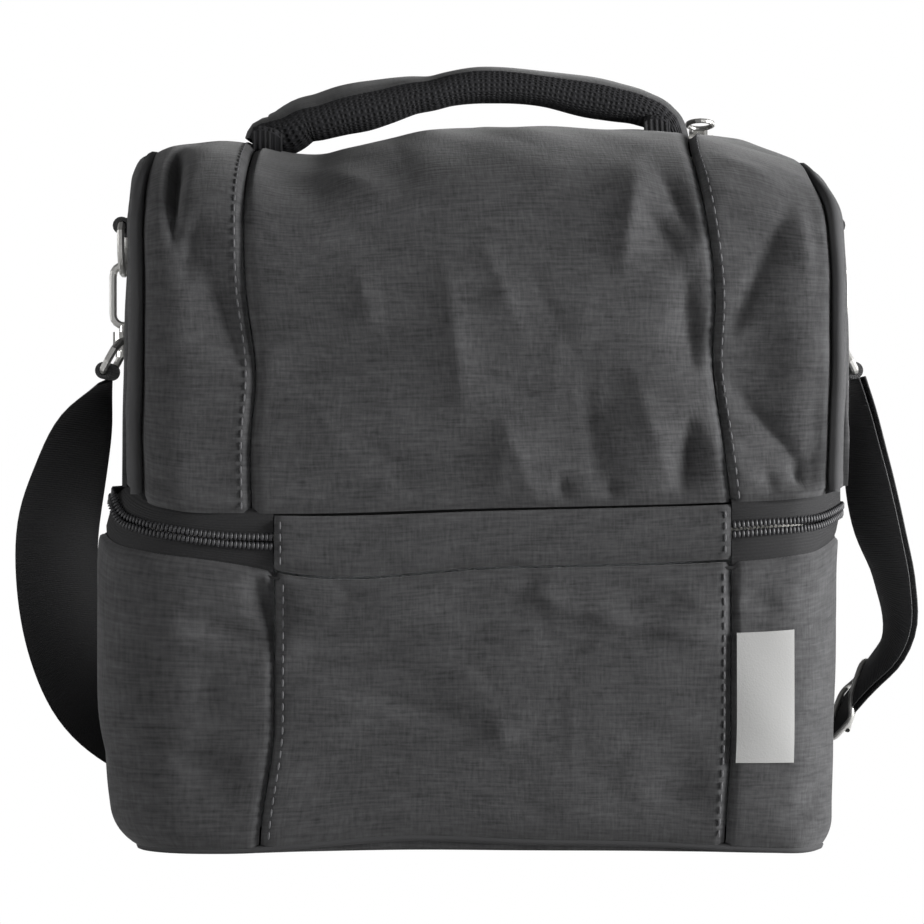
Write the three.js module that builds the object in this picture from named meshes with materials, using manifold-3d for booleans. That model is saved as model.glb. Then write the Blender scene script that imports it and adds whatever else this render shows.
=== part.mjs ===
// Insulated two-compartment lunch bag, in millimetres, +Z up.
// The origin is the centre of the base, on the surface it stands on. The hinge side faces -Y.
import * as THREE from 'three';
import { mergeVertices } from 'three/addons/utils/BufferGeometryUtils.js';
import Module from 'manifold-3d';

const wasm = await Module();
wasm.setup();

// Whole bag
const BAG_WIDTH = 260;
const BAG_DEPTH = 165;
const CORNER_R = 24;
const LOWER_H = 102;
const SPRING_Z = 235;
const DOME_RISE = 37;
const DOME_EDGE_R = 12;
const SEAM_X = 84;
const GAP = 0.3;

// Slack of the lower compartment's left end: how far it swells, and where that starts and fades out
const SWELL = 12.5;
const SWELL_FROM_X = 86;
const SWELL_FULL_Z = 52;
const SWELL_FADE_Z = 90;
const SWELL_FADE_Y = 10;
const SWELL_END_Y = 80;

// Slack of the crown: its dip at stations along X, given as shares of half the width, and where it fades out
const CROWN_DIP = [
  [-1, 9], [-0.69, 5.5], [-0.52, 5.5], [-0.38, 8.5], [0.15, 0], [0.51, 3], [0.69, 3], [1, 10],
];
const DIP_LOW_Z = 196;
const DIP_FULL_Z = 262;
const DIP_FULL_Y = -20;
const DIP_END_Y = 30;

// Layers of the wall, from the outside in
const FABRIC = 1.2;
const FOAM = 6;
const LINER = 0.8;
const BOARD = 2;

// Zips: one row of coil, how far it stands proud, the tape beside it, half the gap between rows
const COIL_H = 3.45;
const COIL_PROUD = 0.9;
const TAPE_W = 6.8;
const COIL_HALF_GAP = 0.15;

// Piping cord and how far in from each end it lies
const PIPING_R = 2.5;
const PIPING_SET = 8;

// Lid: a flap in the far side of the upper compartment
const LID_HALF_W = 104;
const LID_HINGE_Z = 140;
const LID_TOP_Y = 37;
const LID_CORNER_R = 10;
const LID_HINGE_GAP = 0.2;
const LID_DEPTH_CLEAR = 1.5;

// Woven label on the lower right panel
const LABEL_W = 21.3;
const LABEL_H = 48.9;
const LABEL_T = 0.6;
const LABEL_BOTTOM = 34;
const LABEL_FROM_SEAM = 2;

// Padded handle
const HANDLE_HALF = 80;
const HANDLE_FOOT = 6;
const HANDLE_RISE = 11;
const HANDLE_W = 30;
const HANDLE_FOAM = 8;
const HANDLE_FOAM_HALF = 70;
const HANDLE_FOAM_FADE = 0.55;
const HANDLE_FADE_POWER = 6;
const HANDLE_MESH = 1.5;
const HANDLE_LEVEL_HALF = 20;

// Zip sliders and pullers
const SLIDER_L = 11;
const SLIDER_HALF_H = 4.6;
const SLIDER_PLATE = 1.6;
const SLIDER_LIP = 1.1;
const SLIDER_RUN_CLEAR = 0.4;
const EAR_T = 1.2;
const KNUCKLE_W = 4.2;
const KNUCKLE_R = 1.6;
const KNUCKLE_BORE_R = 1;
const PULLER_PIN_R = 0.7;
const PULLER_TAB_T = 1.2;
const PULLER_TAB_W = 8;
const PULLER_NECK = 7;
const PULLER_L = 26;
const PULLER_RING_R = 5;
const PULLER_RING_WIRE_R = 1;
const WAIST_SLIDER_X = 12;
const LID_SLIDER_X = 87;

// D-rings, snap hooks and strap rings, set out from the end panel along X
const RING_OUT = 6.75;
const RING_WIRE_R = 1.5;
const RING_BOW_R = 13;
const RING_BOW_Z = 228.5;
const RING_SIDE_H = 5;
const RING_CORNER = 2.5;
const TAB_W = 20;
const TAB_T = 1.6;
const TAB_H = 9;
const HOOK_WIRE_R = 1.5;
const HOOK_HALF_W = 4.15;
const HOOK_EYE_L = 15;
const HOOK_NOSE = 1.5;
const GATE_R = 1.2;
const GATE_GAP = 0.5;
const GATE_FOOT = 1.8;
const STEM_R = 1.8;
const STEM_CLEAR = 0.3;
const BARREL_R = 4.2;
const BARREL_H = 7;
const BARREL_DROP = 1;
const RIVET_R = 3.2;
const RIVET_H = 2.1;
const RIVET_CLEAR = 0.5;
const STRAP_RING_TILT = 28.5;
const STRAP_RING_BAR_HALF = 16.3;
const STRAP_RING_DROP = 13.2;

// Shoulder strap webbing
const STRAP_W = 32;
const STRAP_T = 1.6;
const STRAP_STEP = 8;
const STRAP_PLY_GAP = 1.6;
const SLEEVE_SIDES = 14;
const ADJUSTER_L = 20;
const ADJUSTER_BAR = 2.4;
const ADJUSTER_SIDE_CLEAR = 1.3;
const ADJUSTER_FACE_CLEAR = 0.7;

// Facets
const CORNER_STEPS = 6;
const SIDE_STEPS = 4;
const DOME_STEPS = 14;
const WIRE_SIDES = 8;
const ARC_STEPS = 8;
const ROUND_SIDES = 16;
const WELD = 1e-4;

// Derived planes and insets
const HALF_W = BAG_WIDTH / 2;
const HALF_D = BAG_DEPTH / 2;
const APEX_Z = SPRING_Z + DOME_RISE;
const PIPING_X = HALF_W - PIPING_SET;
const FOAM_IN = FABRIC + GAP;
const FOAM_OUT = FOAM_IN + FOAM;
const LINER_IN = FOAM_OUT + GAP;
const LINER_OUT = LINER_IN + LINER;
const TAPE_TOP_Z = LOWER_H + GAP + TAPE_W;
const WAIST_Z = TAPE_TOP_Z + GAP + COIL_H + COIL_HALF_GAP;
const UPPER_Z = 2 * WAIST_Z - LOWER_H;
const PIPING_OFFSET = PIPING_R - FABRIC;
const BASE_PIPING_Z = FABRIC + GAP + PIPING_R;
const WALL_Z = BASE_PIPING_Z + PIPING_R + GAP;
const BOARD_Z = FABRIC + GAP;
const FOAM_BASE_Z = BOARD_Z + BOARD + GAP;
const LINER_FLOOR_Z = FOAM_BASE_Z + FOAM + GAP;
const RIM_LOW_Z = WAIST_Z - COIL_HALF_GAP;
const RIM_HIGH_Z = WAIST_Z + COIL_HALF_GAP;
const FOAM_FLOOR_Z = RIM_HIGH_Z + LINER + GAP;
const UPPER_FLOOR_Z = FOAM_FLOOR_Z + FOAM + GAP;
const SWELL_END_Z = RIM_LOW_Z;
const FAR = 400;

// Joins and cuts closed geometries.
function solidOf(geometry) {
  const bare = geometry.clone();
  bare.deleteAttribute('normal');
  bare.deleteAttribute('uv');
  const welded = mergeVertices(bare, WELD);
  const vertProperties = new Float32Array(welded.attributes.position.array);
  const triVerts = new Uint32Array(welded.index.array);
  return new wasm.Manifold(new wasm.Mesh({ numProp: 3, vertProperties, triVerts }));
}

function geometryOf(solid) {
  const mesh = solid.getMesh();
  const geometry = new THREE.BufferGeometry();
  geometry.setAttribute('position', new THREE.BufferAttribute(new Float32Array(mesh.vertProperties), 3));
  geometry.setIndex(new THREE.BufferAttribute(new Uint32Array(mesh.triVerts), 1));
  return geometry;
}

function boxSolid(x0, x1, y0, y1, z0, z1) {
  const geometry = new THREE.BoxGeometry(x1 - x0, y1 - y0, z1 - z0);
  geometry.translate((x0 + x1) / 2, (y0 + y1) / 2, (z0 + z1) / 2);
  return solidOf(geometry);
}

function rodSolid(radius, x0, x1, y, z) {
  const geometry = new THREE.CylinderGeometry(radius, radius, x1 - x0, ROUND_SIDES);
  geometry.rotateZ(Math.PI / 2);
  geometry.translate((x0 + x1) / 2, y, z);
  return solidOf(geometry);
}

// Rings of equal point counts joined in order; open lofts get flat ends. Faces point outwards.
function loftGeometry(rings, closed = false) {
  const count = rings[0].length;
  const points = rings.flat();
  const index = [];
  const spans = closed ? rings.length : rings.length - 1;
  for (let i = 0; i < spans; i++) {
    const a = i * count;
    const b = ((i + 1) % rings.length) * count;
    for (let j = 0; j < count; j++) {
      const k = (j + 1) % count;
      index.push(a + j, b + j, b + k, a + j, b + k, a + k);
    }
  }
  if (!closed) {
    const last = (rings.length - 1) * count;
    for (let j = 1; j < count - 1; j++) {
      index.push(0, j, j + 1, last, last + j + 1, last + j);
    }
  }
  let volume = 0;
  for (let i = 0; i < index.length; i += 3) {
    const [a, b, c] = [points[index[i]], points[index[i + 1]], points[index[i + 2]]];
    volume += a.dot(b.clone().cross(c));
  }
  if (volume < 0) {
    index.reverse();
  }
  const geometry = new THREE.BufferGeometry().setFromPoints(points);
  geometry.setIndex(index);
  return geometry;
}

// A round wire along a flat path, mitred at each point.
function wireGeometry(points, planeNormal, radius, closed) {
  const rings = points.map((point, i) => {
    const count = points.length;
    const before = closed ? points[(i + count - 1) % count] : points[Math.max(i - 1, 0)];
    const after = closed ? points[(i + 1) % count] : points[Math.min(i + 1, count - 1)];
    const arriving = point.clone().sub(before).normalize();
    const leaving = after.clone().sub(point).normalize();
    const tangent = arriving.clone().add(leaving).normalize();
    const mitre = 1 / Math.max(0.5, Math.max(tangent.dot(arriving), tangent.dot(leaving)));
    const side = tangent.clone().cross(planeNormal).multiplyScalar(mitre);
    return Array.from({ length: WIRE_SIDES }, (_, j) => {
      const angle = 2 * Math.PI * (j + 0.5) / WIRE_SIDES;
      const out = side.clone().multiplyScalar(Math.cos(angle));
      out.addScaledVector(planeNormal, Math.sin(angle));
      return point.clone().addScaledVector(out, radius);
    });
  });
  return loftGeometry(rings, closed);
}

function arc(centreA, centreB, radius, from, to, steps) {
  return Array.from({ length: steps + 1 }, (_, i) => {
    const angle = THREE.MathUtils.degToRad(from + (to - from) * i / steps);
    return [centreA + radius * Math.cos(angle), centreB + radius * Math.sin(angle)];
  });
}

// Plan of the walls: a rounded rectangle, moved in by inset, with extra points down its slack left side.
function planPoints(inset) {
  const r = CORNER_R - inset;
  const a = HALF_W - CORNER_R;
  const b = HALF_D - CORNER_R;
  const down = Array.from({ length: SIDE_STEPS - 1 }, (_, i) => b - 2 * b * (i + 1) / SIDE_STEPS);
  return [
    ...arc(a, b, r, 0, 90, CORNER_STEPS),
    ...arc(-a, b, r, 90, 180, CORNER_STEPS),
    ...down.map((y) => [-a - r, y]),
    ...arc(-a, -b, r, 180, 270, CORNER_STEPS),
    ...arc(a, -b, r, 270, 360, CORNER_STEPS),
  ];
}

// How far the left end has swelled along X at a point of the lower wall.
function swell(x, y, z) {
  const { smoothstep } = THREE.MathUtils;
  const end = smoothstep(-x, SWELL_FROM_X, HALF_W) * (1 - smoothstep(y, SWELL_FADE_Y, SWELL_END_Y));
  return -SWELL * end * smoothstep(z, 0, SWELL_FULL_Z) * (1 - smoothstep(z, SWELL_FADE_Z, SWELL_END_Z));
}

// Levels at which the wall bends as it swells.
const SWELL_LEVELS = [
  SWELL_FULL_Z / 3, 2 * SWELL_FULL_Z / 3, SWELL_FULL_Z, SWELL_FADE_Z, LOWER_H, TAPE_TOP_Z,
];

function wallSolid(inset, z0, z1) {
  const bends = SWELL_LEVELS.filter((z) => z > z0 + GAP && z < z1 - GAP);
  const rings = [z0, ...bends, z1].map((z) => planPoints(inset).map(([x, y]) => (
    new THREE.Vector3(x + swell(x, y, z), y, z))));
  return solidOf(loftGeometry(rings));
}

function wallRing(outer, inner, z0, z1) {
  return wallSolid(outer, z0, z1).subtract(wallSolid(inner, z0 - GAP, z1 + GAP));
}

// How far an edge rounded to a radius has dropped at a distance past where it starts.
function edgeDrop(radius, past) {
  return radius - Math.sqrt(Math.max(0, radius * radius - Math.max(0, past) ** 2));
}

// Half the depth and the crown of the upper compartment at a station x, moved in by inset.
function domeSection(x, inset) {
  const half = HALF_D - inset - edgeDrop(CORNER_R - inset, Math.abs(x) - (HALF_W - CORNER_R));
  const crown = APEX_Z - inset - edgeDrop(DOME_EDGE_R - inset, Math.abs(x) - (HALF_W - DOME_EDGE_R));
  return { half, crown };
}

// Dip of the slack crown at a station x, between the stations it is given at.
function dipAt(x) {
  const share = THREE.MathUtils.clamp(x / HALF_W, -1, 1);
  const next = Math.max(1, CROWN_DIP.findIndex(([at]) => at >= share));
  const [x0, dip0] = CROWN_DIP[next - 1];
  const [x1, dip1] = CROWN_DIP[next];
  return dip0 + (dip1 - dip0) * (share - x0) / (x1 - x0);
}

function nearShare(y) {
  return 1 - THREE.MathUtils.smoothstep(y, DIP_FULL_Y, DIP_END_Y);
}

function domeOutline(x, inset, zBottom) {
  const { half, crown } = domeSection(x, inset);
  const over = Array.from({ length: DOME_STEPS + 1 }, (_, i) => {
    const angle = Math.PI * i / DOME_STEPS;
    const y = -half * Math.cos(angle);
    const z = SPRING_Z + (crown - SPRING_Z) * Math.sin(angle);
    const dip = dipAt(x) * nearShare(y) * THREE.MathUtils.smoothstep(z, DIP_LOW_Z, DIP_FULL_Z);
    return new THREE.Vector3(x, y, z - dip);
  });
  return [new THREE.Vector3(x, -half, zBottom), ...over, new THREE.Vector3(x, half, zBottom)];
}

// The upper compartment's outside, moved in by inset: a dome carried along X with rounded ends.
function domeSolid(inset, zBottom) {
  const angles = [0, 20, 40, 55, 68, 80, 90].map((a) => THREE.MathUtils.degToRad(a));
  const ends = angles.map((a) => HALF_W - CORNER_R + (CORNER_R - inset) * Math.sin(a));
  const middle = CROWN_DIP.map(([share]) => share * HALF_W).filter((x) => Math.abs(x) < ends[0] - GAP);
  const stations = [...ends.map((x) => -x).reverse(), ...middle, ...ends];
  return solidOf(loftGeometry(stations.map((x) => domeOutline(x, inset, zBottom))));
}

function domeShell(outer, inner, zBottom) {
  return domeSolid(outer, zBottom).subtract(domeSolid(inner, zBottom - GAP));
}

// The lid is cut on the slant, so that it swings clear of the wall it sits in.
const SLANT = Math.SQRT1_2;
const LID_TOP_Z = SPRING_Z + DOME_RISE * Math.sqrt(1 - (LID_TOP_Y / HALF_D) ** 2);
const LID_V0 = SLANT * (LID_HINGE_Z - HALF_D);
const LID_V1 = SLANT * (LID_TOP_Z - LID_TOP_Y);
const LID_DEPTH0 = SLANT * (HALF_D - LINER_OUT + UPPER_FLOOR_Z + LINER) + LID_DEPTH_CLEAR;

function lidPrism(offset, v0) {
  const half = LID_HALF_W + offset;
  const top = LID_V1 + offset;
  const r = Math.max(LID_CORNER_R + offset, 1);
  const shape = new THREE.Shape();
  shape.moveTo(-half, v0);
  shape.lineTo(half, v0);
  shape.lineTo(half, top - r);
  shape.absarc(half - r, top - r, r, 0, Math.PI / 2, false);
  shape.lineTo(-half + r, top);
  shape.absarc(-half + r, top - r, r, Math.PI / 2, Math.PI, false);
  shape.closePath();
  const settings = { depth: FAR, bevelEnabled: false, curveSegments: CORNER_STEPS };
  const geometry = new THREE.ExtrudeGeometry(shape, settings);
  const basis = new THREE.Matrix4().makeBasis(
    new THREE.Vector3(1, 0, 0),
    new THREE.Vector3(0, -SLANT, SLANT),
    new THREE.Vector3(0, -SLANT, -SLANT),
  );
  geometry.applyMatrix4(basis);
  const lift = SLANT * (LID_DEPTH0 + FAR);
  geometry.translate(0, lift, lift);
  return solidOf(geometry);
}

function lidBand(outer, inner) {
  return lidPrism(outer, LID_V0 + LID_HINGE_GAP).subtract(lidPrism(inner, LID_V0 - FOAM));
}

// Materials
const FABRIC_LOOK = { color: 0x4a4a4a, roughness: 0.95, metalness: 0 };
const WEBBING_LOOK = { color: 0x242424, roughness: 0.9, metalness: 0 };
const TAPE_LOOK = { color: 0x2b2b2b, roughness: 0.9, metalness: 0 };
const COIL_LOOK = { color: 0x1d1d1d, roughness: 0.45, metalness: 0 };
const FOAM_LOOK = { color: 0xe8e6df, roughness: 1, metalness: 0 };
const LINER_LOOK = { color: 0xb8bcc0, roughness: 0.35, metalness: 0 };
const BOARD_LOOK = { color: 0x2a2a2a, roughness: 0.6, metalness: 0 };
const MESH_LOOK = { color: 0x262626, roughness: 0.95, metalness: 0 };
const NICKEL_LOOK = { color: 0xb9b9b6, roughness: 0.25, metalness: 1 };
const SLIDER_LOOK = { color: 0x2f2f30, roughness: 0.4, metalness: 1 };
const LABEL_LOOK = { color: 0xb4b4b4, roughness: 0.9, metalness: 0 };

function piece(group, name, shape, look) {
  const geometry = shape.isBufferGeometry ? shape : geometryOf(shape);
  const mesh = new THREE.Mesh(geometry, new THREE.MeshStandardMaterial(look));
  mesh.name = name;
  group.add(mesh);
  return mesh;
}

const bag = new THREE.Group();
const lower = new THREE.Group();
const upper = new THREE.Group();
const lid = new THREE.Group();
const strap = new THREE.Group();
bag.add(lower, upper, lid, strap);

// Lower compartment
function lowerCompartment() {
  piece(lower, 'base_panel', wallSolid(0, 0, FABRIC), FABRIC_LOOK);
  const cord = planPoints(-PIPING_OFFSET).map(([x, y]) => new THREE.Vector3(x, y, BASE_PIPING_Z));
  piece(lower, 'base_piping', wireGeometry(cord, new THREE.Vector3(0, 0, 1), PIPING_R, true), FABRIC_LOOK);
  piece(lower, 'base_board', wallSolid(FOAM_IN, BOARD_Z, BOARD_Z + BOARD), BOARD_LOOK);
  piece(lower, 'lower_foam_base', wallSolid(FOAM_IN, FOAM_BASE_Z, FOAM_BASE_Z + FOAM), FOAM_LOOK);
  const skin = wallRing(0, FABRIC, WALL_Z, LOWER_H);
  const edge = SEAM_X + GAP;
  const part = (x0, x1, y0, y1) => skin.intersect(boxSolid(x0, x1, y0, y1, -FAR, FAR));
  piece(lower, 'lower_centre_panel', part(-SEAM_X, SEAM_X, -FAR, 0), FABRIC_LOOK);
  piece(lower, 'lower_back_panel', part(-SEAM_X, SEAM_X, 0, FAR), FABRIC_LOOK);
  piece(lower, 'lower_left_panel', part(-FAR, -edge, -FAR, FAR), FABRIC_LOOK);
  piece(lower, 'lower_right_panel', part(edge, FAR, -FAR, FAR), FABRIC_LOOK);
  piece(lower, 'lower_foam_wrap', wallRing(FOAM_IN, FOAM_OUT, LINER_FLOOR_Z, RIM_LOW_Z), FOAM_LOOK);
  const liner = wallSolid(LINER_IN, LINER_FLOOR_Z, RIM_LOW_Z);
  const hollow = wallSolid(LINER_OUT, LINER_FLOOR_Z + LINER, RIM_LOW_Z + GAP);
  piece(lower, 'lower_liner', liner.subtract(hollow), LINER_LOOK);
  const labelX = SEAM_X + LABEL_FROM_SEAM;
  const patch = boxSolid(labelX, labelX + LABEL_W, -FAR, 0, LABEL_BOTTOM, LABEL_BOTTOM + LABEL_H);
  piece(lower, 'label', wallRing(-GAP - LABEL_T, -GAP, 0, LOWER_H).intersect(patch), LABEL_LOOK);
}

// The waist zip runs round three sides; the hinge band closes the fourth.
function waist() {
  const band = boxSolid(-SEAM_X, SEAM_X, -FAR, 0, -FAR, FAR);
  const opening = boxSolid(-SEAM_X - GAP, SEAM_X + GAP, -FAR, 0, -FAR, FAR);
  const hinge = wallRing(0, FABRIC, LOWER_H + GAP, UPPER_Z - GAP);
  piece(lower, 'hinge_band', hinge.intersect(band), FABRIC_LOOK);
  const tapeLow = wallRing(0, FABRIC, LOWER_H + GAP, TAPE_TOP_Z);
  const coilLow = wallRing(-COIL_PROUD, FABRIC, RIM_LOW_Z - COIL_H, RIM_LOW_Z);
  const coilHigh = wallRing(-COIL_PROUD, FABRIC, RIM_HIGH_Z, RIM_HIGH_Z + COIL_H);
  const tapeHigh = wallRing(0, FABRIC, UPPER_Z - GAP - TAPE_W, UPPER_Z - GAP);
  piece(lower, 'waist_zip_tape_lower', tapeLow.subtract(opening), TAPE_LOOK);
  piece(lower, 'waist_zip_coil_lower', coilLow.subtract(opening), COIL_LOOK);
  piece(upper, 'waist_zip_coil_upper', coilHigh.subtract(opening), COIL_LOOK);
  piece(upper, 'waist_zip_tape_upper', tapeHigh.subtract(opening), TAPE_LOOK);
}

// Upper compartment, its lid and the zip between them
function upperCompartment() {
  const coilOut = COIL_HALF_GAP + COIL_H;
  const tapeIn = coilOut + GAP;
  const tapeOut = tapeIn + TAPE_W;
  const panelEdge = tapeOut + GAP;
  const bodyV0 = LID_V0 - LID_HINGE_GAP;
  const lidV0 = LID_V0 + LID_HINGE_GAP;
  const skin = domeShell(0, FABRIC, UPPER_Z);
  const coilSkin = domeShell(-COIL_PROUD, FABRIC, UPPER_Z);
  const foam = domeShell(FOAM_IN, FOAM_OUT, RIM_HIGH_Z);
  const liner = domeSolid(LINER_IN, UPPER_FLOOR_Z).subtract(domeSolid(LINER_OUT, UPPER_FLOOR_Z + LINER));
  const mouth = lidPrism(GAP, bodyV0);
  const flap = lidPrism(-GAP, lidV0);
  const cutOut = lidPrism(panelEdge, bodyV0);
  const stripHalf = LID_HALF_W + panelEdge;
  const strip = boxSolid(-stripHalf, stripHalf, 0, FAR, -FAR, LID_HINGE_Z);
  const body = skin.subtract(cutOut);
  const pipeEdge = PIPING_X - PIPING_R - GAP;
  const endEdge = PIPING_X + PIPING_R + GAP;
  const seam = SEAM_X + GAP;
  const slice = (x0, x1) => boxSolid(x0, x1, -FAR, FAR, -FAR, FAR);

  piece(upper, 'upper_centre_panel', body.subtract(strip).intersect(slice(-SEAM_X, SEAM_X)), FABRIC_LOOK);
  piece(upper, 'upper_left_panel', body.subtract(strip).intersect(slice(-pipeEdge, -seam)), FABRIC_LOOK);
  piece(upper, 'upper_right_panel', body.subtract(strip).intersect(slice(seam, pipeEdge)), FABRIC_LOOK);
  piece(upper, 'left_end_panel', skin.intersect(slice(-FAR, -endEdge)), FABRIC_LOOK);
  piece(upper, 'right_end_panel', skin.intersect(slice(endEdge, FAR)), FABRIC_LOOK);
  const back = boxSolid(-stripHalf + GAP, stripHalf - GAP, 0, FAR, -FAR, LID_HINGE_Z);
  piece(upper, 'upper_back_panel', body.intersect(back), FABRIC_LOOK);
  for (const [side, s] of [['left', -1], ['right', 1]]) {
    const outline = domeOutline(s * PIPING_X, -PIPING_OFFSET, UPPER_Z);
    const bead = wireGeometry(outline, new THREE.Vector3(1, 0, 0), PIPING_R, false);
    piece(upper, `${side}_piping`, bead, FABRIC_LOOK);
  }
  piece(upper, 'upper_foam', foam.subtract(mouth), FOAM_LOOK);
  piece(upper, 'upper_foam_floor', wallSolid(LINER_IN, FOAM_FLOOR_Z, FOAM_FLOOR_Z + FOAM), FOAM_LOOK);
  piece(upper, 'divider_liner', wallSolid(LINER_IN, RIM_HIGH_Z, RIM_HIGH_Z + LINER), LINER_LOOK);
  piece(upper, 'upper_liner', liner.subtract(mouth), LINER_LOOK);
  piece(upper, 'lid_zip_tape_outer', skin.intersect(lidBand(tapeOut, tapeIn)), TAPE_LOOK);
  piece(upper, 'lid_zip_coil_outer', coilSkin.intersect(lidBand(coilOut, COIL_HALF_GAP)), COIL_LOOK);

  piece(lid, 'lid_panel', skin.intersect(lidPrism(-panelEdge, lidV0)), FABRIC_LOOK);
  piece(lid, 'lid_foam', foam.intersect(flap), FOAM_LOOK);
  piece(lid, 'lid_liner', liner.intersect(flap), LINER_LOOK);
  piece(lid, 'lid_zip_tape_inner', skin.intersect(lidBand(-tapeIn, -tapeOut)), TAPE_LOOK);
  piece(lid, 'lid_zip_coil_inner', coilSkin.intersect(lidBand(-COIL_HALF_GAP, -coilOut)), COIL_LOOK);
}

// Padded handle: a low arch sewn into the two seams on the crown
const HANDLE_SEAT_Z = APEX_Z + GAP;
const HANDLE_STEPS = 16;
const HANDLE_STRIPS = 3;

function archZ(x) {
  return HANDLE_SEAT_Z + HANDLE_RISE * Math.max(0, 1 - (x / HANDLE_HALF) ** 2);
}

function archFoamTop(x) {
  const fade = 1 - HANDLE_FOAM_FADE * (x / HANDLE_FOAM_HALF) ** HANDLE_FADE_POWER;
  return archZ(x) + HANDLE_MESH + GAP + HANDLE_FOAM * fade;
}

// A band across the bag between two heights given as functions of x.
function archBand(half, width, low, high) {
  const xs = Array.from({ length: HANDLE_STEPS + 1 }, (_, i) => -half + 2 * half * i / HANDLE_STEPS);
  const outline = [...xs.map((x) => [x, low(x)]), ...xs.reverse().map((x) => [x, high(x)])];
  return solidOf(seat(acrossGeometry(outline, width)));
}

// An outline in X and Z, drawn out across the bag.
function acrossGeometry(outline, width) {
  const shape = new THREE.Shape(outline.map(([x, z]) => new THREE.Vector2(x, z)));
  const settings = { depth: width, bevelEnabled: false, steps: HANDLE_STRIPS };
  const geometry = new THREE.ExtrudeGeometry(shape, settings);
  geometry.rotateX(Math.PI / 2);
  geometry.translate(0, width / 2, 0);
  return geometry;
}

// The handle's two ends tilt down with the slack crown that they are sewn to.
function seat(geometry) {
  const points = geometry.attributes.position;
  for (let i = 0; i < points.count; i++) {
    const x = points.getX(i);
    const end = THREE.MathUtils.smoothstep(Math.abs(x), HANDLE_LEVEL_HALF, HANDLE_FOAM_HALF);
    const dip = dipAt(Math.sign(x) * HANDLE_HALF) * nearShare(points.getY(i)) * end;
    points.setZ(i, points.getZ(i) - dip);
  }
  return geometry;
}

function handle() {
  const foam = archBand(HANDLE_FOAM_HALF, HANDLE_W, (x) => archZ(x) + HANDLE_MESH + GAP, archFoamTop);
  const mesh = archBand(HANDLE_FOAM_HALF, HANDLE_W, archZ, (x) => archZ(x) + HANDLE_MESH);
  const hollow = archBand(
    HANDLE_FOAM_HALF + GAP, HANDLE_W + 2 * GAP, (x) => archZ(x) - HANDLE_RISE, (x) => archFoamTop(x) + GAP);
  const coverTop = (x) => archFoamTop(x) + GAP + FABRIC;
  const body = archBand(HANDLE_FOAM_HALF + FABRIC, HANDLE_W + 2 * (GAP + FABRIC), archZ, coverTop);
  const end = HANDLE_FOAM_HALF + GAP + FABRIC / 2;
  const tip = HANDLE_HALF + HANDLE_FOOT;
  let cover = body.subtract(hollow);
  for (const s of [-1, 1]) {
    const foot = [
      [s * end, archZ(end)],
      [s * HANDLE_HALF, HANDLE_SEAT_Z],
      [s * tip, HANDLE_SEAT_Z],
      [s * tip, HANDLE_SEAT_Z + FABRIC],
      [s * HANDLE_HALF, HANDLE_SEAT_Z + FABRIC + HANDLE_MESH],
      [s * end, coverTop(end)],
    ];
    const sewn = acrossGeometry(s > 0 ? foot : foot.reverse(), HANDLE_W + 2 * (GAP + FABRIC));
    cover = cover.add(solidOf(seat(sewn)));
  }
  piece(upper, 'handle_cover', cover, FABRIC_LOOK);
  piece(upper, 'handle_foam', foam, FOAM_LOOK);
  piece(upper, 'handle_mesh', mesh, MESH_LOOK);
}

// Slider in its own frame: x along the zip, y out of the cloth, z across the zip.
const SLIDER_Y = COIL_PROUD + SLIDER_RUN_CLEAR;
const SLIDER_TOP = SLIDER_Y + SLIDER_PLATE;
const PIN_Y = SLIDER_TOP + KNUCKLE_R + SLIDER_RUN_CLEAR;
const EAR_X = KNUCKLE_W / 2 + GAP;

// The slider's lip runs beside the coil, whose row reaches that far across the zip.
function sliderSolid(reach) {
  const half = SLIDER_L / 2;
  const lipZ = reach + GAP;
  const earTop = PIN_Y + KNUCKLE_R;
  let slider = boxSolid(-half, half, SLIDER_Y, SLIDER_TOP, -lipZ - SLIDER_LIP, SLIDER_HALF_H);
  slider = slider.add(boxSolid(-half, half, GAP, SLIDER_TOP, -lipZ - SLIDER_LIP, -lipZ));
  for (const s of [-1, 1]) {
    const near = s * EAR_X;
    const far = s * (EAR_X + EAR_T);
    const [x0, x1] = [Math.min(near, far), Math.max(near, far)];
    slider = slider.add(boxSolid(x0, x1, SLIDER_TOP - GAP, earTop, -KNUCKLE_R, KNUCKLE_R));
  }
  const pinHalf = EAR_X + EAR_T / 2;
  return slider.add(rodSolid(PULLER_PIN_R, -pinHalf, pinHalf, PIN_Y, 0));
}

function knuckleSolid() {
  const half = KNUCKLE_W / 2;
  const ring = rodSolid(KNUCKLE_R, -half, half, 0, 0);
  const neck = boxSolid(-half, half, -PULLER_TAB_T / 2, PULLER_TAB_T / 2, -PULLER_NECK, 0);
  return ring.add(neck).subtract(rodSolid(KNUCKLE_BORE_R, -FAR, FAR, 0, 0));
}

function tabPuller() {
  const half = PULLER_TAB_W / 2;
  const neckIn = PULLER_NECK - GAP;
  const tab = boxSolid(-half, half, -PULLER_TAB_T / 2, PULLER_TAB_T / 2, -PULLER_L, -neckIn);
  return knuckleSolid().add(tab);
}

function ringPuller() {
  const torus = new THREE.TorusGeometry(PULLER_RING_R, PULLER_RING_WIRE_R, WIRE_SIDES, 2 * ARC_STEPS);
  torus.rotateX(Math.PI / 2);
  torus.translate(0, 0, -PULLER_NECK - PULLER_RING_R);
  return knuckleSolid().add(solidOf(torus));
}

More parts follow.
